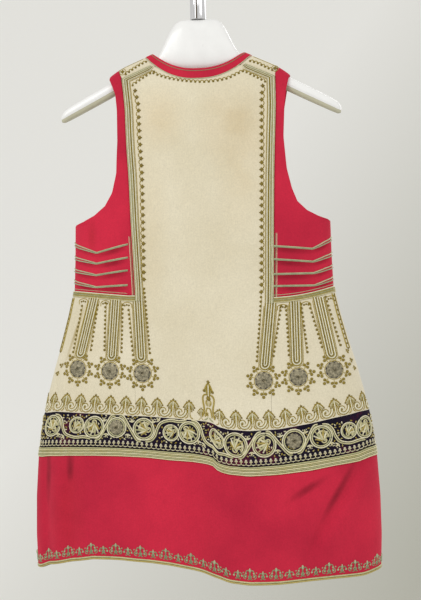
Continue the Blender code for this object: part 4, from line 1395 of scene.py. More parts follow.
def disc(name, x, z, radius, lift, *nodes):
    """A domed disc of couched metal thread with a lobed edge and dark nicks in it."""
    share = np.linspace(0.06, 1.0, ROSETTE_RINGS)[:, None]
    angle = ring_angles(ROSETTE_SECTORS)[None, :]
    reach = radius * share * (1.0 + EDGE_LOBE * np.cos(ROSETTE_LOBES * angle) * share**4)
    dome = DOME_HEIGHT * np.sqrt(np.clip(1.04 - share**2, 0.0, 1.0))
    threads = np.sin(24.0 * angle + 9.0 * share) + np.cos(TAU * 5.0 * share)
    rise = lift + 0.0005 + dome + DISC_THREAD_HEIGHT * threads * (share < 0.98)
    rings = on_cloth(x + reach * np.cos(angle), z + reach * np.sin(angle), -1, rise)[0]
    low_x, low_z = x + 0.99 * radius * np.cos(angle), z + 0.99 * radius * np.sin(angle)
    rim = on_cloth(low_x, low_z, -1, np.full_like(angle, lift - 0.0003))[0]
    middle = on_cloth(np.array([[x]]), np.array([[z]]), -1, np.array([[lift + 0.0025]]))[0]
    points = np.concatenate((rings.reshape(-1, 3), rim.reshape(-1, 3), middle.reshape(-1, 3)))
    start = ROSETTE_RINGS * ROSETTE_SECTORS
    faces = [(i, len(points) - 1, k) for i, k in around(ROSETTE_SECTORS)]
    faces += tube_faces(ROSETTE_RINGS + 1, ROSETTE_SECTORS)
    faces.append(tuple(range(start, start + ROSETTE_SECTORS)))
    nicks = [i % (ROSETTE_SECTORS // ROSETTE_LOBES) < NICK_SECTORS for i in range(ROSETTE_SECTORS)]
    slots = [0] * ROSETTE_SECTORS
    for ring_number in range(ROSETTE_RINGS):
        slots += [int(nick and ring_number >= ROSETTE_RINGS - NICK_RINGS) for nick in nicks]
    slots.append(0)
    obj = add_mesh(name, points, [face[::-1] for face in faces], [DISC, DARK_THREAD], slots=slots)
    stand_for(obj, "metal_disc", *nodes)


def ring_line(trim, x, z, radius, width, tone):
    trim.line(spiral((x, z), radius, radius, 0.0, 1.0, 36), width, tone)


def trefoil(pen):
    """Three knots in a triangle on a short stem."""
    pen.dots(2.1, 1.6, 1.75, 0.28)
    pen.dot(0.0, 4.9, 1.85, 0.28)
    pen.line([(0.0, -1.8), (0.0, 2.6)], 1.3, 0.43)


def rosette(trim, label, number, x, z):
    """A disc, a thread round it and trefoils that leave its top free."""
    disc(f"rosette_{label}_{number}_disc", x, z, 0.96 * ROSETTE_RADIUS, 0.0003, f"rosette_{label}_{number}")
    ring_line(trim, x, z, ROSETTE_LINE_RADIUS, 0.0014, 0.40)
    for k in range(1, 10):
        angle = TAU * (0.25 + k / 10.0)
        at, rise = x + TREFOIL_REACH * math.cos(angle), z + TREFOIL_REACH * math.sin(angle)
        trefoil(Pen(trim, at=at, rise=rise, turn=angle - 0.5 * math.pi, size=1.4))


# Height that the piping is measured from, and the gap between its two cords at the point and at the edge
PIPING_LEVEL_Z = -0.44
PIPING_GAP = 0.0014
PIPING_WIDE_GAP = 0.0046
PIPING_WIDTH = 0.0019


def piping(label, sign):
    """Double cords across the red side, which meet in a point at its middle and gape towards its edges."""
    steps = even_shares(7)
    for side, face in FACES.items():
        trim = Trim(side, 0.0002)
        row = Row(side, lambda x: np.full_like(x, PIPING_LEVEL_Z))
        seam_x = abs(float(side_seam(PIPING_LEVEL_Z, side))) + 0.0008
        middle_x = CORD_X[sign][1]
        end = row.high - 0.0003
        for seam_z, middle_z, side_z in CORDS[sign]:
            for gap, tone in ((0.5, 0.74), (-0.5, 0.62)):
                places = [(mix(seam_x, middle_x, t), mix(seam_z, middle_z, t**1.1) + gap * PIPING_GAP)
                          for t in steps]
                places += [(mix(middle_x, end, t),
                            mix(middle_z, side_z, t) + gap * mix(PIPING_GAP, PIPING_WIDE_GAP, t**0.8))
                           for t in steps[1:]]
                line = [(sign * u, v - PIPING_LEVEL_Z) for u, v in places]
                trim.line(line, PIPING_WIDTH, tone, height=0.7, row=row)
        nodes = [f"cord_{label}_{number}" for number in (1, 2, 3, 4)]
        trim.build(f"piping_{face}_{label}_cords", SILVER, "silver_cord", *nodes)


# Motifs of the embroidery


def palmette(pen):
    """A leaf under an umbrella of drooping sprays, with knobs at their tips."""
    pen.dot(0.0, 24.8, 1.3, DOT_TONE, lobes=4)
    pen.pair([(0.2, 23.8), (2.2, 22.4), (4.9, 20.2), (7.2, 16.8)], 1.7, 0.24)
    pen.pair([(0.4, 21.0), (2.2, 18.8), (4.2, 16.6), (5.6, 13.8)], 1.7, 0.52)
    pen.pair([(0.8, 18.2), (2.0, 16.0), (3.1, 13.8), (3.7, 11.2)], 1.6, 0.22)
    pen.line([(0.0, 22.4), (0.0, 3.0)], 1.5, 1.02)
    pen.pair([(1.2, 15.0), (1.4, 10.0), (1.2, 6.6)], 1.2, 0.28)
    for u, v, radius in ((7.5, 15.8, 1.2), (5.8, 13.0, 1.1), (3.8, 10.4, 0.9), (3.4, 22.9, 0.9)):
        pen.dots(u, v, radius, 0.20)
    pen.pair([(1.5, 6.8), (1.7, 4.2), (3.2, 1.8), (5.6, 0.9)], 1.3, 0.34)


# Middle of the pale band of the scroll that runs from one palmette's foot up to the next one's stem, in mm
CURL_PATH = ((12.2, 8.8), (11.4, 11.6), (8.6, 12.2), (6.2, 9.8), (6.2, 6.0), (9.0, 3.2), (13.2, 2.9),
             (17.0, 5.2), (19.6, 9.6), (20.2, 13.6))


def curl(pen):
    """A thick pale scroll between two fine darker threads, with a knot in its eye."""
    pen.line(CURL_PATH, 2.6, 1.10)
    for away in (2.0, -2.0):
        pen.line(beside(CURL_PATH, away), 1.4, 0.26)
    pen.dot(9.6, 8.0, 1.1, 0.24)


def tree(pen):
    """The taller spray over the fold: an arrow-shaped bud, a heart and a lyre of two stems."""
    pen.dot(0.0, 56.0, 1.4, 0.22, lobes=4)
    pen.pair([(0.7, 54.0), (3.3, 49.5), (6.1, 43.5)], 1.5, 0.32)
    pen.dots(6.3, 43.0, 1.3, 0.24)
    pen.pair([(1.5, 50.5), (2.3, 44.0), (1.4, 34.0)], 1.6, 0.26, "leaf")
    pen.pair([(3.4, 45.5), (3.2, 41.0), (1.6, 37.0)], 1.4, 0.55, "leaf")
    pen.line([(0.0, 52.0), (0.0, 34.0)], 1.1, 1.0)
    pen.dot(0.0, 32.5, 1.9, 0.22)
    stem = [(3.0, 37.6), (6.6, 36.8), (8.5, 33.0), (7.9, 26.0), (6.6, 19.0), (7.1, 12.0), (9.4, 5.5)]
    pen.pair(stem, 1.5, 0.34)
    pen.pair([(1.8, 31.0), (3.4, 26.5), (1.4, 21.0)], 1.8, 0.42, "leaf")
    pen.line([(0.0, 29.5), (0.0, 21.5)], 1.3, 0.85, "leaf")
    pen.pair([(0.0, 19.0), (2.6, 17.6), (3.8, 13.0), (5.2, 5.5)], 1.3, 0.36)
    pen.line(spiral((-2.2, 10.2), 3.0, 1.0, 0.9, -0.1, 16), 1.1, 0.45)
    pen.dot(-2.2, 10.0, 1.0, 0.24)
    pen.dots(9.0, 9.5, 1.1, 0.24)
    pen.pair([(1.0, 5.5), (3.2, 2.6), (6.6, 1.2)], 1.2, 0.60)


def fleur(pen, tall):
    """A pointed bud between two drooping leaves on a splayed foot."""
    top = 20.0 if tall else 15.6
    pen.line([(0.0, top), (0.0, top - 7.2)], 3.2 if tall else 2.4, 0.66, "leaf")
    pen.pair([(0.6, top - 6.0), (2.6, top - 3.6), (5.0, top - 4.6), (5.9, top - 7.6)], 1.3, 0.50)
    pen.dots(5.8, top - 8.0, 1.2, 0.78)
    pen.line([(0.0, top - 6.2), (0.0, 4.0)], 1.8, 0.44)
    pen.pair([(0.4, 9.2), (2.1, 7.2), (1.0, 4.4)], 1.2, 0.60)
    pen.pair([(0.4, 4.6), (2.2, 3.0), (4.2, 3.6)], 1.2, 0.46)
    if tall:
        pen.pair(spiral((6.6, 7.4), 3.6, 1.0, -0.30, 0.90, 20), 1.2, 0.52)
        pen.dots(6.6, 7.4, 1.0, 0.80)
        pen.dots(9.6, 12.6, 0.9, 0.66)


def crown(pen):
    """A pale knob on a stem over linked arcs and beads."""
    pen.dot(0.0, 9.3, 1.75, 1.02)
    pen.dots(1.4, 7.2, 1.2, 0.90)
    pen.line([(0.0, 7.8), (0.0, 3.6)], 1.4, 0.84)
    pen.line([(0.0, 4.0), (1.5, 2.7), (3.65, 2.3), (5.8, 2.7), (7.3, 4.0)], 1.2, 0.86)
    pen.dot(3.65, 2.4, 1.0, 1.02)


def flower(pen):
    """Eight petals round a knot, pale and paler by turns."""
    for k in range(8):
        c, s = math.cos(0.25 * math.pi * k), math.sin(0.25 * math.pi * k)
        pen.line([(1.6 * c, 1.6 * s), (7.4 * c, 7.4 * s)], 4.2, 0.80 if k % 2 else 0.95, "leaf")
    pen.dot(0.0, 0.0, 2.4, 0.45)


# Lobes of the acanthus leaf: reach in mm, tone
ACANTHUS_LOBES = (
    (8.6, 0.70),
    (10.6, 0.94),
    (11.2, 0.38),
    (11.4, 0.92),
    (11.0, 0.68),
    (9.6, 0.94),
    (7.4, 0.38),
)


def acanthus(pen):
    """A leaf of curving lobes with knobs at their tips that fans out from a scroll and fills its ring."""
    for k, (reach, tone) in enumerate(ACANTHUS_LOBES):
        angle = math.radians(-88.0 + 31.0 * k)
        u, v = reach * math.cos(angle), reach * math.sin(angle)
        pen.line([(-5.6, -2.6), (0.42 * u - 3.2, 0.42 * v - 0.4), (u - 0.6, v + 0.6)], 3.4, tone, "leaf")
        pen.dot(u - 0.9, v + 0.4, 1.3, tone + 0.08)
    pen.line(spiral((-5.4, -3.8), 4.6, 1.2, 0.1, 1.1, 18), 2.1, 0.80)
    pen.dot(-5.4, -3.8, 1.4, 1.02)


def leaf_spray(pen):
    """Three small leaves and two knots that fill a gap."""
    pen.line([(0.0, -0.5), (0.0, 6.2)], 3.2, 0.84, "leaf")
    pen.pair([(0.3, -0.5), (2.6, 1.6), (5.2, 2.2)], 2.7, 0.94, "leaf")
    pen.dots(2.7, 5.4, 1.1, 0.95)


RING_RADIUS = 17.2
RING_STROKE = 2.2
DISC_RADIUS = 0.0112
DISC_BEADS = 16
# Rings of the vine on the back, left to right: x, height over the band's foot and radius in mm, content
VINE = (
    (-0.2385, 32.5, 16.8, "leaf"),
    (-0.1652, 30.3, 17.2, "leaf"),
    (-0.1287, 30.6, 15.8, "disc"),
    (-0.0859, 30.4, 17.2, "leaf"),
    (-0.0152, 30.6, 17.2, "leaf"),
    (0.0563, 31.2, 18.6, "leaf"),
    (0.0993, 31.0, 18.4, "leaf"),
    (0.1440, 32.4, 18.2, "disc"),
    (0.1850, 32.6, 17.4, "leaf"),
    (0.2515, 32.0, 17.4, "leaf"),
)
ARCH_SPAN = 52.0
FRONT_RING_START = 0.0300
FRONT_RING_PITCH = 0.0660
FRONT_RING_LEVEL = 31.0
RING_OVERHANG = 0.008


def ring_of_vine(pen, radius, kind, turn):
    """A ring of two strokes that winds in to what it holds."""
    for inset, tone in ((0.5, 0.92), (1.7, 0.70)):
        reach = radius - inset * RING_STROKE
        pen.line(spiral((0.0, 0.0), reach, reach, turn, turn + 1.0, 48), RING_STROKE, tone)
    if kind == "disc":
        for k in range(DISC_BEADS):
            angle = TAU * (k + 0.5) / DISC_BEADS
            pen.dot(0.97 * radius * math.cos(angle), 0.97 * radius * math.sin(angle), 0.9, 1.0)
        return
    inner = Pen(pen.trim, pen.row, pen.at, pen.rise, size=1.12 * pen.size, turn=TAU * (turn + 0.30))
    if kind == "flower":
        flower(inner)
        return
    for reach, tone in ((radius - 2.6 * RING_STROKE, 0.86), (radius - 3.5 * RING_STROKE, 0.74)):
        pen.line(spiral((0.0, 0.0), reach, 0.62 * reach, turn, turn + 0.42, 20), 2.0, tone)
    acanthus(inner)


def link(pen, span, way):
    """The double stem between two rings, with leaves over and under it."""
    h = 0.5 * span
    if 2.0 * h > ARCH_SPAN:
        stem = [(3.0 - h, -17.6), (11.5 - h, -15.8), (17.6 - h, -9.0), (21.0 - h, 2.0), (27.0 - h, 11.5),
                (0.15 * h, 16.4), (0.55 * h, 15.6), (0.90 * h, 17.8)]
        at, rise = pen.places([(0.20 * h, -2.0 * way)])[0]
        ring_of_vine(Pen(pen.trim, pen.row, at, rise, size=0.74, weight=1.2), RING_RADIUS, "leaf", 0.2 * way)
        sprays = ((14.5 - h, 10.5, 0.15), (24.0 - h, 14.6, 0.9))
    else:
        stem = [(3.0 - h, -18.3), (10.0 - h, -16.0), (0.0, 0.0), (h - 10.0, 16.0), (h - 3.0, 18.3)]
        sprays = ((-2.6, 9.0, 0.1), (2.6, -9.2, 3.05))
    for away, tone in ((1.35, 0.88), (-1.35, 0.72)):
        pen.line(beside([(u, way * v) for u, v in stem], away), RING_STROKE, tone)
    for u, v, lean in sprays:
        at, rise = pen.places([(u, way * v)])[0]
        leaf_spray(Pen(pen.trim, pen.row, at, rise, size=0.95, turn=lean if way > 0 else math.pi - lean))


# Small leaves that fill the band: lowest and highest place, pitch, least distance from a thread, sizes, tones
FILL_LOW = 0.0140
FILL_HIGH = 0.0505
FILL_PITCH = 0.0036
FILL_SPACE = 0.0025
FILL_REACH = 0.0019
FILL_WIDTH = 0.0026
FILL_TONES = (0.48, 0.90, 0.34)


def fill(trim, foot):
    """Small leaves in whatever the scroll leaves free, each a little way from the threads round it."""
    taken = np.concatenate([line[0] for line in trim.lines] + [np.array([dot[:2] for dot in trim.dots])])
    rows = int((FILL_HIGH - FILL_LOW) / FILL_PITCH)
    for i, at in enumerate(np.arange(foot.low + 0.002, foot.high - 0.002, FILL_PITCH)):
        near = taken[np.abs(taken[:, 0] - at) < 0.010]
        for k in range(rows):
            rise = FILL_LOW + (k + 0.5 * (i % 2)) * FILL_PITCH
            place = np.array((at, rise))
            if len(near) and np.linalg.norm(near - place, axis=1).min() < FILL_SPACE:
                continue
            lean = 1.9 * i + 2.6 * k
            reach = FILL_REACH * np.array((math.cos(lean), math.sin(lean)))
            leaf = [place - reach, place, place + reach]
            trim.line(leaf, FILL_WIDTH, FILL_TONES[(i + k) % 3], "leaf", row=foot)
            near = np.concatenate((near, leaf))
            taken = np.concatenate((taken, leaf))


def vine(trim, foot, part):
    """A running scroll of linked rings, and small leaves round them."""
    if part == 0:
        rings = [(foot.along(x), rise, radius, kind) for x, rise, radius, kind in VINE]
    else:
        kinds = ("leaf", "flower")
        count = int((foot.high - foot.low) / FRONT_RING_PITCH) + 1
        places = [part * (FRONT_RING_START + k * FRONT_RING_PITCH) for k in range(count)]
        rings = [(at, FRONT_RING_LEVEL, RING_RADIUS, kinds[k % 2]) for k, at in enumerate(places)]
        low, high = foot.low - RING_OVERHANG, foot.high + RING_OVERHANG
        rings = sorted(row for row in rings if low < row[0] < high)
    for k, (at, rise, radius, kind) in enumerate(rings):
        ring_of_vine(Pen(trim, foot, at, rise * MM), radius, kind, 0.37 * k)
        if kind == "disc":
            (disc_x, disc_z), = foot.spots(np.array([[at, rise * MM]]))
            disc(f"band_disc_{k}", float(disc_x), float(disc_z), DISC_RADIUS, 0.0006)
    for k, (one, other) in enumerate(zip(rings, rings[1:])):
        middle, span = 0.5 * (one[0] + other[0]), (other[0] - one[0]) / MM
        link(Pen(trim, foot, middle, 0.5 * (one[1] + other[1]) * MM), span, 1 if k % 2 else -1)
    fill(trim, foot)


# How far along their rows the motifs stand, and which of them make way for the tree
PALMETTE_RISE = 0.0012
PALMETTE_PITCH = 0.0247
PALMETTE_STARTS = (-0.0150, 0.0325)
TREE_X = 0.0152
TREE_SPACE = 0.010
TREE_SMALLER = 0.026
TREE_NO_CURL = 0.036
SMALL_PALMETTE_X = 0.0035
FLEUR_STARTS = (0.0235, 0.076)
FLEUR_PITCH = 0.0383
FRONT_PALMETTE_START = 0.0210
FRONT_FLEUR_START = 0.0240
CROWN_PITCH = 0.0073
# Parts of the skirt: label, part, and the ends of the stretch that is embroidered
PARTS = (("back", 0, -1.0, 1.0), ("front_left", -1, -1.0, -0.0085), ("front_right", 1, 0.0085, 1.0))


def part_row(part, name, low, high, rise=0.0):
    side = side_of(part)
    return Row(side, lambda x: row_height(name, x, side) + rise, low, high)


def spaced(row, start, pitch, margin=0.004):
    """Distances along a row, a pitch apart and through the start."""
    first = math.ceil((row.low + margin - start) / pitch)
    last = math.floor((row.high - margin - start) / pitch)
    return [(k, start + k * pitch) for k in range(first, last + 1)]


def palmette_row(label, part, low, high):
    """Palmettes and scrolls over the band; on the back they make way for the tree over the fold."""
    row = part_row(part, "band_top", low, high, PALMETTE_RISE)
    trim = Trim(side_of(part))
    if part == 0:
        left, right = PALMETTE_STARTS
        places = [x for _, x in spaced(row, left, PALMETTE_PITCH) if x < 0.0]
        places += [x for _, x in spaced(row, right, PALMETTE_PITCH) if x > TREE_X + TREE_SPACE]
        tree(Pen(trim, row, TREE_X, size=1.04, weight=1.85))
        palmette(Pen(trim, row, SMALL_PALMETTE_X, size=0.72, weight=1.2))
    else:
        places = [x for _, x in spaced(row, part * FRONT_PALMETTE_START, PALMETTE_PITCH, 0.006)]
    for x in places:
        near_tree = part == 0 and abs(x - TREE_X) < TREE_SMALLER
        palmette(Pen(trim, row, x, size=1.0 if near_tree else 1.1, weight=1.22))
        if not (part == 0 and TREE_X - TREE_NO_CURL < x < TREE_X):
            curl(Pen(trim, row, x))
    trim.build(f"palmettes_{label}", GOLD, "gold_braid")


def vine_row(label, part, low, high):
    """The vine in the velvet band and the small crowns along its foot."""
    row = part_row(part, "band_foot", low, high)
    trim = Trim(side_of(part), VELVET_LIFT)
    for _, x in spaced(row, 0.0, CROWN_PITCH):
        crown(Pen(trim, row, x, 0.0002))
    vine(trim, row, part)
    trim.build(f"vine_{label}", GOLD, "gold_braid")


def fleur_row(label, part, low, high):
    """Fleurs over the hem, tall and short by turns, with two short ones under the fold on the back."""
    row = part_row(part, "hem", low, high, HEM_CORD_HEIGHT)
    trim = Trim(side_of(part))
    pitch = 0.5 * FLEUR_PITCH
    if part == 0:
        left, right = FLEUR_STARTS
        places = [(x, k % 2 == 0) for k, x in spaced(row, left, pitch) if x <= left + 1e-6]
        places += [(x, k % 2 == 0) for k, x in spaced(row, right, pitch) if x >= right - 1e-6]
        places += [(mix(left, right, third / 3.0), False) for third in (1, 2)]
    else:
        places = [(x, k % 2 == 0) for k, x in spaced(row, part * FRONT_FLEUR_START, pitch)]
    for x, tall in places:
        fleur(Pen(trim, row, x, weight=1.4), tall)
    trim.build(f"hem_fleurs_{label}", SILVER, "silver_cord")


# Dots beside the tabs: from x and z, to x and z, and the side the arcs bulge to
DOT_COLUMNS = (
    (-0.1853, -0.5037, -0.1986, -0.5746, 1),
    (-0.1580, -0.5027, -0.1684, -0.5714, -1),
    (-0.1453, -0.4997, -0.1462, -0.5715, 1),
    (-0.1177, -0.5032, -0.1188, -0.5746, -1),
    (-0.1081, -0.5110, -0.1006, -0.5793, 1),
    (0.1244, -0.5089, 0.1125, -0.5835, -1),
    (0.1319, -0.5091, 0.1355, -0.5825, 1),
    (0.1543, -0.5065, 0.1630, -0.5787, -1),
    (0.1662, -0.5067, 0.1847, -0.5718, 1),
    (0.1909, -0.4966, 0.2123, -0.5698, -1),
)
# Lines of dots on the back: big ones beside the long braids, then small ones
LEFT_DOTS = ((-0.0982, -0.1703), (-0.0926, -0.1937), (-0.0912, -0.2179), (-0.0856, -0.3014),
             (-0.0839, -0.4014), (-0.0837, -0.4657))
LEFT_SMALL_DOTS = ((-0.0836, -0.4790), (-0.0805, -0.5114), (-0.0741, -0.5765))
RIGHT_DOTS = ((0.1003, -0.1700), (0.0984, -0.1933), (0.0982, -0.2715), (0.0966, -0.3935), (0.0951, -0.4873))
RIGHT_SMALL_DOTS = ((0.0947, -0.4950), (0.0913, -0.5444), (0.0876, -0.5905))
LEFT_CORNER = ((-0.1023, -0.1617), (-0.0940, -0.1560), (-0.0858, -0.1506), (-0.0744, -0.1442),
               (-0.0684, -0.1414))
RIGHT_CORNER = ((0.0697, -0.1460), (0.0759, -0.1482), (0.0883, -0.1549), (0.0962, -0.1592),
                (0.1041, -0.1636))
NECK_DOTS = ((-0.0692, -0.1440), (-0.0557, -0.1500), (-0.0397, -0.1549), (-0.0191, -0.1592),
             (0.0045, -0.1618), (0.0274, -0.1608), (0.0473, -0.1566), (0.0596, -0.1510), (0.0700, -0.1462))
LEFT_SHOULDER_DOTS = ((-0.1133, -0.1436), (-0.1050, -0.1382), (-0.0922, -0.1305), (-0.0810, -0.1252))
RIGHT_SHOULDER_DOTS = ((0.0814, -0.1307), (0.0922, -0.1340), (0.1045, -0.1405), (0.1153, -0.1459))
SHOULDER_FLOWERS = ((-0.1186, -0.1393), (0.1195, -0.1428))
# Trefoils that lie over the skirt's side edges, and how they lean
EDGE_TREFOILS = ((-0.2195, -0.5966, 1.2), (-0.2235, -0.6085, 1.5), (0.2270, -0.5800, -1.2),
                 (0.2285, -0.5935, -1.4), (0.2300, -0.6050, -1.7))
EDGE_LEVEL_Z = -0.6
SMALL_DOT_PITCH = 0.0067
BRAID_LINE_GAP = 0.0018
BINDING_LINE_LIFT = 0.0008
CREST_LINE_END_X = 0.1255
SIDE_LINE_TOP_Z = -0.398
SIDE_LINE_X = 0.112
WAIST_LINE_START_X = 0.1105
WAIST_LINE_RISE = 0.0030


def back_embroidery():
    trim = Trim(-1)
    for route, way in ((LEFT_DOTS, -1), (RIGHT_DOTS, 1)):
        scallops(trim, route, 0.0110, way * 0.0042, 0.0031, 0.0015, 0.26, lobes=4)
    for route, way in ((LEFT_SMALL_DOTS, -1), (RIGHT_SMALL_DOTS, 1)):
        scallops(trim, route, SMALL_DOT_PITCH, way * 0.0014)
    scallops(trim, NECK_DOTS, 0.0069, 0.0030, 0.0020, 0.0015, 0.28)
    for route in (LEFT_CORNER, RIGHT_CORNER):
        scallops(trim, route, 0.0066, 0.0030, 0.0019, 0.0015, 0.28)
    for route in (LEFT_SHOULDER_DOTS, RIGHT_SHOULDER_DOTS):
        scallops(trim, route, 0.0062, 0.0028, 0.0019, 0.0015, 0.28)
    for top_x, top_z, foot_x, foot_z, way in DOT_COLUMNS:
        scallops(trim, ((top_x, top_z), (foot_x, foot_z)), SMALL_DOT_PITCH, way * 0.0016)
    for x, z in SHOULDER_FLOWERS:
        ring_line(trim, x, z, 0.0051, 0.0011, 0.34)
        trim.dot(x, z, 0.0030, DOT_TONE, lobes=4)
    for sign in (-1, 1):
        crest_x = np.linspace(NECK_X + BINDING_WIDTH + 0.002, CREST_LINE_END_X, 40)
        trim.line(np.stack((sign * crest_x, crest(sign * crest_x) - 0.0022), axis=-1), 0.0011, 0.22)
        braid_line(trim, sign)
        tab_lines(trim, sign)
        edge_band(trim, sign)
    level = Row(-1, lambda x: np.full_like(x, EDGE_LEVEL_Z))
    for x, z, turn in EDGE_TREFOILS:
        trefoil(Pen(trim, level, level.along(x), z - EDGE_LEVEL_Z, turn=turn))
    return trim


def braid_line(trim, sign):
    """The fine thread beside the long braid, under its shoulder stretch and down its inner edge."""
    away = LONG_BRAID_WIDTH + BRAID_LINE_GAP
    foot = float(skirt_top(sign * side_seam(WAIST_Z)))
    corner_x = float(side_seam(LONG_BRAID_CORNER_Z)) - away
    over_x = np.linspace(LONG_BRAID_START_X - LONG_BRAID_END_LEAN, corner_x, 8)
    over_z = crest(sign * over_x) - LONG_BRAID_DROP - LONG_BRAID_HEIGHT - BRAID_LINE_GAP
    down_z = np.linspace(float(over_z[-1]) - 0.003, foot, 60)
    places = list(zip(over_x, over_z)) + list(zip(side_seam(down_z) - away, down_z))
    trim.line([(sign * x + float(back_shift(z)), z) for x, z in places], 0.0013, 0.30)


EDGE_BAND_TURNS = (0.425, 0.438, 0.451)
EDGE_BAND_FOOT_Z = -0.575
EDGE_BAND_DOTS = 12


def edge_band(trim, sign):
    """Two threads and a column of dots down the skirt's side, under the end of the waist braid."""
    top_z = WAIST_SIDE_Z - WAIST_BRAID - 0.002
    levels = np.linspace(top_z, EDGE_BAND_FOOT_Z, 40)
    outer, middle, inner = (sign * turn for turn in EDGE_BAND_TURNS)
    for turn, tone in ((outer, 0.30), (inner, 0.20)):
        trim.line(np.stack((x_of(turn, levels), levels), axis=-1), 0.0026, tone)
    for z in np.linspace(top_z - 0.004, EDGE_BAND_FOOT_Z, EDGE_BAND_DOTS):
        trim.dot(float(x_of(middle, z)), float(z), 0.0015, DOT_TONE)


# Arches between the tabs: where they start and end across
TAB_ARCHES = ((0.1110, 0.1270), (0.1470, 0.1610), (0.1830, 0.1985))


def tab_lines(trim, sign):
    """The thin thread round each tab, drawn to a point at its foot, and the arches between the tabs."""
    for top_x, foot_x, left_z, right_z, *_ in TABS:
        foot_z = left_z if sign < 0 else right_z
        top_z = float(skirt_top(sign * top_x))
        round_z = foot_z + 0.5 * TAB_WIDTH
        half = TAB_LINE_REACH
        places = [(-half, top_z - 0.004), (-half, round_z), (-0.78 * half, round_z - 0.0062),
                  (-0.25 * half, foot_z - 0.0018), (0.0, foot_z - 0.0030), (0.25 * half, foot_z - 0.0018),
                  (0.78 * half, round_z - 0.0062), (half, round_z), (half, top_z - 0.004)]
        line = on_tab(sign, top_x, foot_x, top_z, foot_z, places)
        trim.line(curve(line, 8), 0.0012, 0.40)
    for left, right in TAB_ARCHES:
        middle = 0.5 * (left + right)
        z = float(skirt_top(sign * middle)) - 0.0030
        shift = float(back_shift(z))
        arch = [(left, z - 0.0085), (left + 0.0008, z - 0.0020), (middle, z + 0.0005),
                (right - 0.0008, z - 0.0020), (right, z - 0.0085)]
        trim.line(curve([(sign * x + shift, level) for x, level in arch]), 0.0014, 0.34)
        for across, drop in ((-0.0034, 0.0042), (0.0, 0.0034), (0.0034, 0.0042)):
            trim.dot(sign * (middle + across) + shift, z - drop, 0.0016, DOT_TONE)


def neck_lines_back():
    """Fine threads at both edges of the binding on the back."""
    trim = Trim(-1, BINDING_LINE_LIFT)
    low_x = NECK_X + BINDING_WIDTH
    share = np.linspace(-0.985, 0.985, 120)
    for level, width, tone in ((0.24, 0.0010, 0.42), (0.98, 0.0012, 0.75)):
        x = share * mix(NECK_X, low_x, level)
        z = mix(neck_high(share * NECK_X), neck_low(share * low_x), level)
        trim.line(np.stack((x, z), axis=-1), width, tone)
    trim.build("neck_lines_back", SILVER, "silver_cord")


def neck_lines_front():
    """Fine threads at both edges of the binding down the front."""
    trim = Trim(1, BINDING_LINE_LIFT)
    for sign in (-1, 1):
        for inset, tone in ((0.0028, 0.42), (0.0115, 0.75)):
            start_z = float(crest(sign * (NECK_X + inset))) - 0.003
            levels = np.linspace(start_z, FRONT_ROWS["band_top"] + 0.002, 200)
            x = sign * front_edge(levels, sign, inset)
            trim.line(np.stack((x, levels), axis=-1), 0.0011, tone)
    trim.build("neck_lines_front", SILVER, "silver_cord")


def side_lines():
    """Fine threads on the red sides of the back: two beside the side seam and one over the waist braid."""
    trim = Trim(-1)
    row = Row(-1, waist_height)
    for sign in (-1, 1):
        for away, tone in ((0.0022, 0.40), (0.0042, 0.85)):
            foot_z = float(waist_height(sign * SIDE_LINE_X)) - 0.001
            levels = np.linspace(SIDE_LINE_TOP_Z, foot_z, 30)
            x = sign * (side_seam(levels) + away) + back_shift(levels)
            trim.line(np.stack((x, levels), axis=-1), 0.0011, tone)
    for sign in (-1, 1):
        reach = np.linspace(WAIST_LINE_START_X, row.high - 0.001, 40)
        trim.line([(sign * u, WAIST_LINE_RISE) for u in reach], 0.0010, 0.66, row=row)
    trim.build("side_lines_back", SILVER, "silver_cord")


# Hanger: where its arms start, and the duller channel along their underside, painted beige as shade

ARM_X = 0.066
CHANNEL_LEVEL = -0.26
CHANNEL_INSET = 0.16
CHANNEL_START_X = 0.060
CHANNEL_FADE = 0.030
HANGER_STEPS = 5
TIP_LENGTH = 0.0011
HANGER_SIDES = 40
ROD_SIDES = 96


def rounded_tip(x, top, foot, half_depth):
    """Sections that round off the end of an arm."""
    middle = 0.5 * (top + foot)
    rows = []
    for share in (0.35, 0.65, 0.85, 0.97):
        shrink = math.sqrt(1.0 - share * share)
        level = [mix(middle, height, shrink) for height in (top, foot)]
        rows.append((x + TIP_LENGTH * share, *level, half_depth * shrink))
    return np.array(rows)


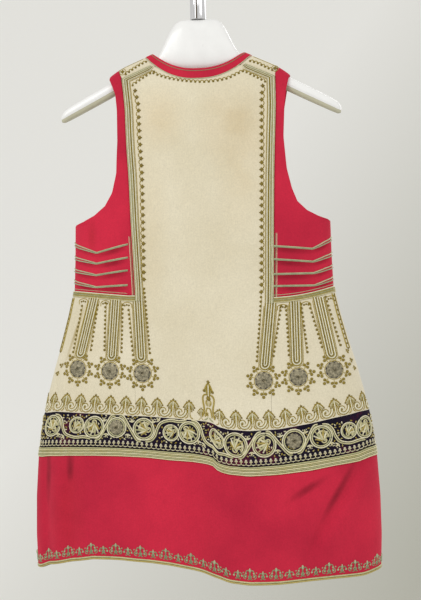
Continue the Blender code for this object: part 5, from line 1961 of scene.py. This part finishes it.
def hanger_body():
    """The moulded body: a tall hump and two sloping arms, with a duller channel along the underside, painted
    beige as shade.
    """
    mirror = np.array((-1.0, 1.0, 1.0, 1.0))
    half = np.array(HANGER)
    sections = smooth_rows(np.concatenate((half[:0:-1] * mirror, half)), HANGER_STEPS)
    tip = rounded_tip(*sections[-1])
    sections = np.concatenate((tip[::-1] * mirror, sections, tip))
    angles = TAU * (np.arange(HANGER_SIDES) + 0.5) / HANGER_SIDES
    c, s = np.cos(angles), np.sin(angles)
    y = np.sign(c) * np.abs(c) ** HANGER_SQUARENESS
    z = np.sign(s) * np.abs(s) ** HANGER_SQUARENESS
    channel = z < CHANNEL_LEVEL
    x, top, foot, depths = (sections[:, k : k + 1] for k in range(4))
    inset = 1.0 - CHANNEL_INSET * smooth((np.abs(x) - CHANNEL_START_X) / CHANNEL_FADE) * channel
    heights = 0.5 * (top + foot) + 0.5 * (top - foot) * z
    points = np.stack((x + 0.0 * y, depths * y * inset, heights), axis=-1)
    rows = len(sections)
    faces = tube_faces(rows, HANGER_SIDES)
    faces.append(tuple(range(HANGER_SIDES)))
    faces.append(tuple((rows - 1) * HANGER_SIDES + i for i in reversed(range(HANGER_SIDES))))
    arms = np.abs(sections[:, 0]) > ARM_X
    under = channel & np.roll(channel, -1)
    slots = [int(arm and low) for arm in arms[:-1] & arms[1:] for low in under] + [0, 0]
    obj = add_mesh("hanger_body_moulding", points.reshape(-1, 3), faces, [WHITE, UNDERSIDE_PAINTED_SHADE], slots=slots)
    stand_for(obj, "white_plastic", "hanger_body")


def smooth_rows(table, steps):
    """A smooth run through the rows of a table, column by column."""
    ends = np.concatenate(([2 * table[0] - table[1]], table, [2 * table[-1] - table[-2]]))
    rows = []
    for k in range(len(table) - 1):
        p0, p1, p2, p3 = ends[k : k + 4]
        step, most = p2 - p1, 2 * abs(p2 - p1)
        slopes = [0.5 * (p2 - p0), 0.5 * (p3 - p1)]
        start, end = (np.where(np.sign(slope) == np.sign(step), np.clip(slope, -most, most), 0.0)
                      for slope in slopes)
        for t in np.linspace(0.0, 1.0, steps, endpoint=False):
            rows.append(p1 + step * smooth(t) + t * (1.0 - t) * ((1.0 - t) * start - t * end))
    return np.array(rows + [table[-1]])


GROOVE_ANGLE = math.radians(-95.0)
GROOVE_HALF_ANGLE = 0.17
GROOVE_DEPTH = 0.0024
GROOVE_DARK = 0.45
ROD_BEVEL = 0.0006


def hanger_rod():
    """A bright steel tube with a narrow slot down its back, painted dark inside as shade."""
    angles = ring_angles(ROD_SIDES)
    away = (angles - GROOVE_ANGLE + math.pi) % TAU - math.pi
    slot = bell(away / GROOVE_HALF_ANGLE)
    reach = ROD_RADIUS - GROOVE_DEPTH * slot
    rings = []
    for z, share in ((ROD_SEAT_Z, 0.97), (ROD_SEAT_Z + ROD_BEVEL, 1.0), (-ROD_BEVEL, 1.0), (0.0, 0.97)):
        x, y = share * reach * np.cos(angles), share * reach * np.sin(angles)
        rings.append(np.stack((x, y, np.full_like(x, z)), axis=-1))
    faces = tube_faces(len(rings), ROD_SIDES)
    faces.append(tuple(reversed(range(ROD_SIDES))))
    faces.append(tuple(range(3 * ROD_SIDES, 4 * ROD_SIDES)))
    # Painted shade: the faces deep in the groove get the dark slot material
    dark = (slot > GROOVE_DARK) & (np.roll(slot, -1) > GROOVE_DARK)
    slots = dark.astype(int).tolist() * 3 + [0, 0]
    obj = add_mesh("hanger_rod_tube", np.concatenate(rings), faces, [CHROME, SLOT_SHADE], slots=slots)
    stand_for(obj, "chrome", "hanger_rod")


# Camera, light and floor

VIEW_YAW = math.radians(6.5)
VIEW_ROLL = math.radians(1.03)
VIEW_DISTANCE = 1.9
VIEW_CENTRE = Vector((0.0117, 0.0, -0.498))
FOCAL_PIXELS = 1218.0
PICTURE_HEIGHT = 600.0
SENSOR = 36.0


def make_camera():
    right = Vector((math.cos(VIEW_YAW), math.sin(VIEW_YAW), 0.0))
    ahead = Vector((-math.sin(VIEW_YAW), math.cos(VIEW_YAW), 0.0))
    up = Vector((0.0, 0.0, 1.0))
    across = right * math.cos(VIEW_ROLL) - up * math.sin(VIEW_ROLL)
    upward = right * math.sin(VIEW_ROLL) + up * math.cos(VIEW_ROLL)
    data = bpy.data.cameras.new("camera")
    data.sensor_width = SENSOR
    data.lens = SENSOR * FOCAL_PIXELS / PICTURE_HEIGHT
    camera = add_object("camera", data)
    camera.matrix_world = Matrix((across, upward, -ahead)).transposed().to_4x4()
    camera.location = VIEW_CENTRE - ahead * VIEW_DISTANCE
    bpy.context.scene.camera = camera


STAGE_SIDES = 96
FLOOR_Z = -2.3
STAGE_RADIUS = 5.5
SWEEP_RADIUS = 2.4
STAGE_TOP_Z = 4.0


def make_stage():
    """A round floor that sweeps up into a pale wall, far enough out for a camera on any side, its colour
    painted darker to the right and lower down as light falloff.
    """
    outline = [(0.0, FLOOR_Z), (0.5 * (STAGE_RADIUS - SWEEP_RADIUS), FLOOR_Z)]
    for t in even_shares(17):
        angle = 0.5 * math.pi * t
        outline.append((STAGE_RADIUS - SWEEP_RADIUS * (1.0 - math.sin(angle)),
                        FLOOR_Z + SWEEP_RADIUS * (1.0 - math.cos(angle))))
    outline.append((STAGE_RADIUS, STAGE_TOP_Z))
    angles = ring_angles(STAGE_SIDES)
    points = [(r * math.cos(a), r * math.sin(a), z) for r, z in outline[1:] for a in angles]
    points.append((0.0, 0.0, FLOOR_Z))
    faces = [(len(points) - 1, i, k) for i, k in around(STAGE_SIDES)]
    faces += [face[::-1] for face in tube_faces(len(outline) - 1, STAGE_SIDES)]
    finish = Finish("backdrop_painted_falloff", 0.9)
    # Painted light falloff: the colour ramps down towards +X and downwards, standing in for light that dims
    # across the wall and floor
    where = finish.add("SeparateXYZ", {"Vector": finish.place()})
    slope = finish.math("SUBTRACT", finish.math("MULTIPLY", where.outputs["Z"], 0.16),
                        finish.math("MULTIPLY", where.outputs["X"], 0.20))
    shade = finish.spread(slope, -0.42, 0.12)
    finish.link(finish.ramp(shade, ((0.0, (0.53, 0.53, 0.46)), (1.0, (0.95, 0.95, 0.915)))), "Base Color")
    mesh = bpy.data.meshes.new("floor")
    mesh.from_pydata(points, [], faces)
    mesh.materials.append(finish.material)
    mesh.shade_smooth()
    floor = add_object("floor", mesh)
    floor.visible_diffuse = False
    floor.visible_glossy = False
    floor.visible_shadow = False


# Lights: name, place, aimed at, size, power
LIGHTS = (
    ("key", (-1.6, -2.3, 1.0), (0.0, 0.0, -0.45), 1.6, 30.0),
    ("fill", (2.1, -1.8, 0.2), (0.0, 0.0, -0.50), 1.8, 11.5),
    ("front_key", (1.4, 2.4, 0.9), (0.0, 0.0, -0.45), 1.8, 20.0),
)
WORLD_STRENGTH = 0.75


def make_lights():
    for name, place, aim, size, power in LIGHTS:
        data = bpy.data.lights.new(name, "AREA")
        data.size = size
        data.energy = power
        light = add_object(name, data)
        light.location = place
        light.rotation_euler = (Vector(aim) - Vector(place)).to_track_quat("-Z", "Y").to_euler()
    world = bpy.data.worlds.new("studio")
    world.use_nodes = True
    world.node_tree.nodes["Background"].inputs["Color"].default_value = (1.0, 0.99, 0.97, 1.0)
    world.node_tree.nodes["Background"].inputs["Strength"].default_value = WORLD_STRENGTH
    bpy.context.scene.world = world
    bpy.context.scene.view_settings.view_transform = "Standard"


make_camera()
make_stage()
make_lights()
back_panel()
bindings()
embroidery = back_embroidery()
for part_label, part_sign in (("left", -1), ("right", 1)):
    front(part_label, part_sign)
    for face_side in (-1, 1):
        red_side(part_label, part_sign, face_side)
        skirt_side(part_label, part_sign, face_side)
    waist_braid(part_label, part_sign)
    long_braid(part_label, part_sign)
    piping(part_label, part_sign)
    for tab_number, tab_row in enumerate(TABS, 1):
        tab_top, tab_foot, left_z, right_z, disc_x, disc_left_z, disc_right_z = tab_row
        tab_z, disc_z = (left_z, disc_left_z) if part_sign < 0 else (right_z, disc_right_z)
        tab(part_label, tab_number, part_sign, tab_top, tab_foot, tab_z)
        rosette(embroidery, part_label, tab_number, part_sign * disc_x + float(back_shift(disc_z)), disc_z)
embroidery.build("gold_embroidery_back", GOLD, "gold_braid")
neck_lines_back()
side_lines()
neck_lines_front()
for row_label, row_part, row_low, row_high in PARTS:
    skirt_rows(row_label, row_part)
    for embroider in (palmette_row, vine_row, fleur_row):
        embroider(row_label, row_part, row_low, row_high)
hanger_body()
hanger_rod()
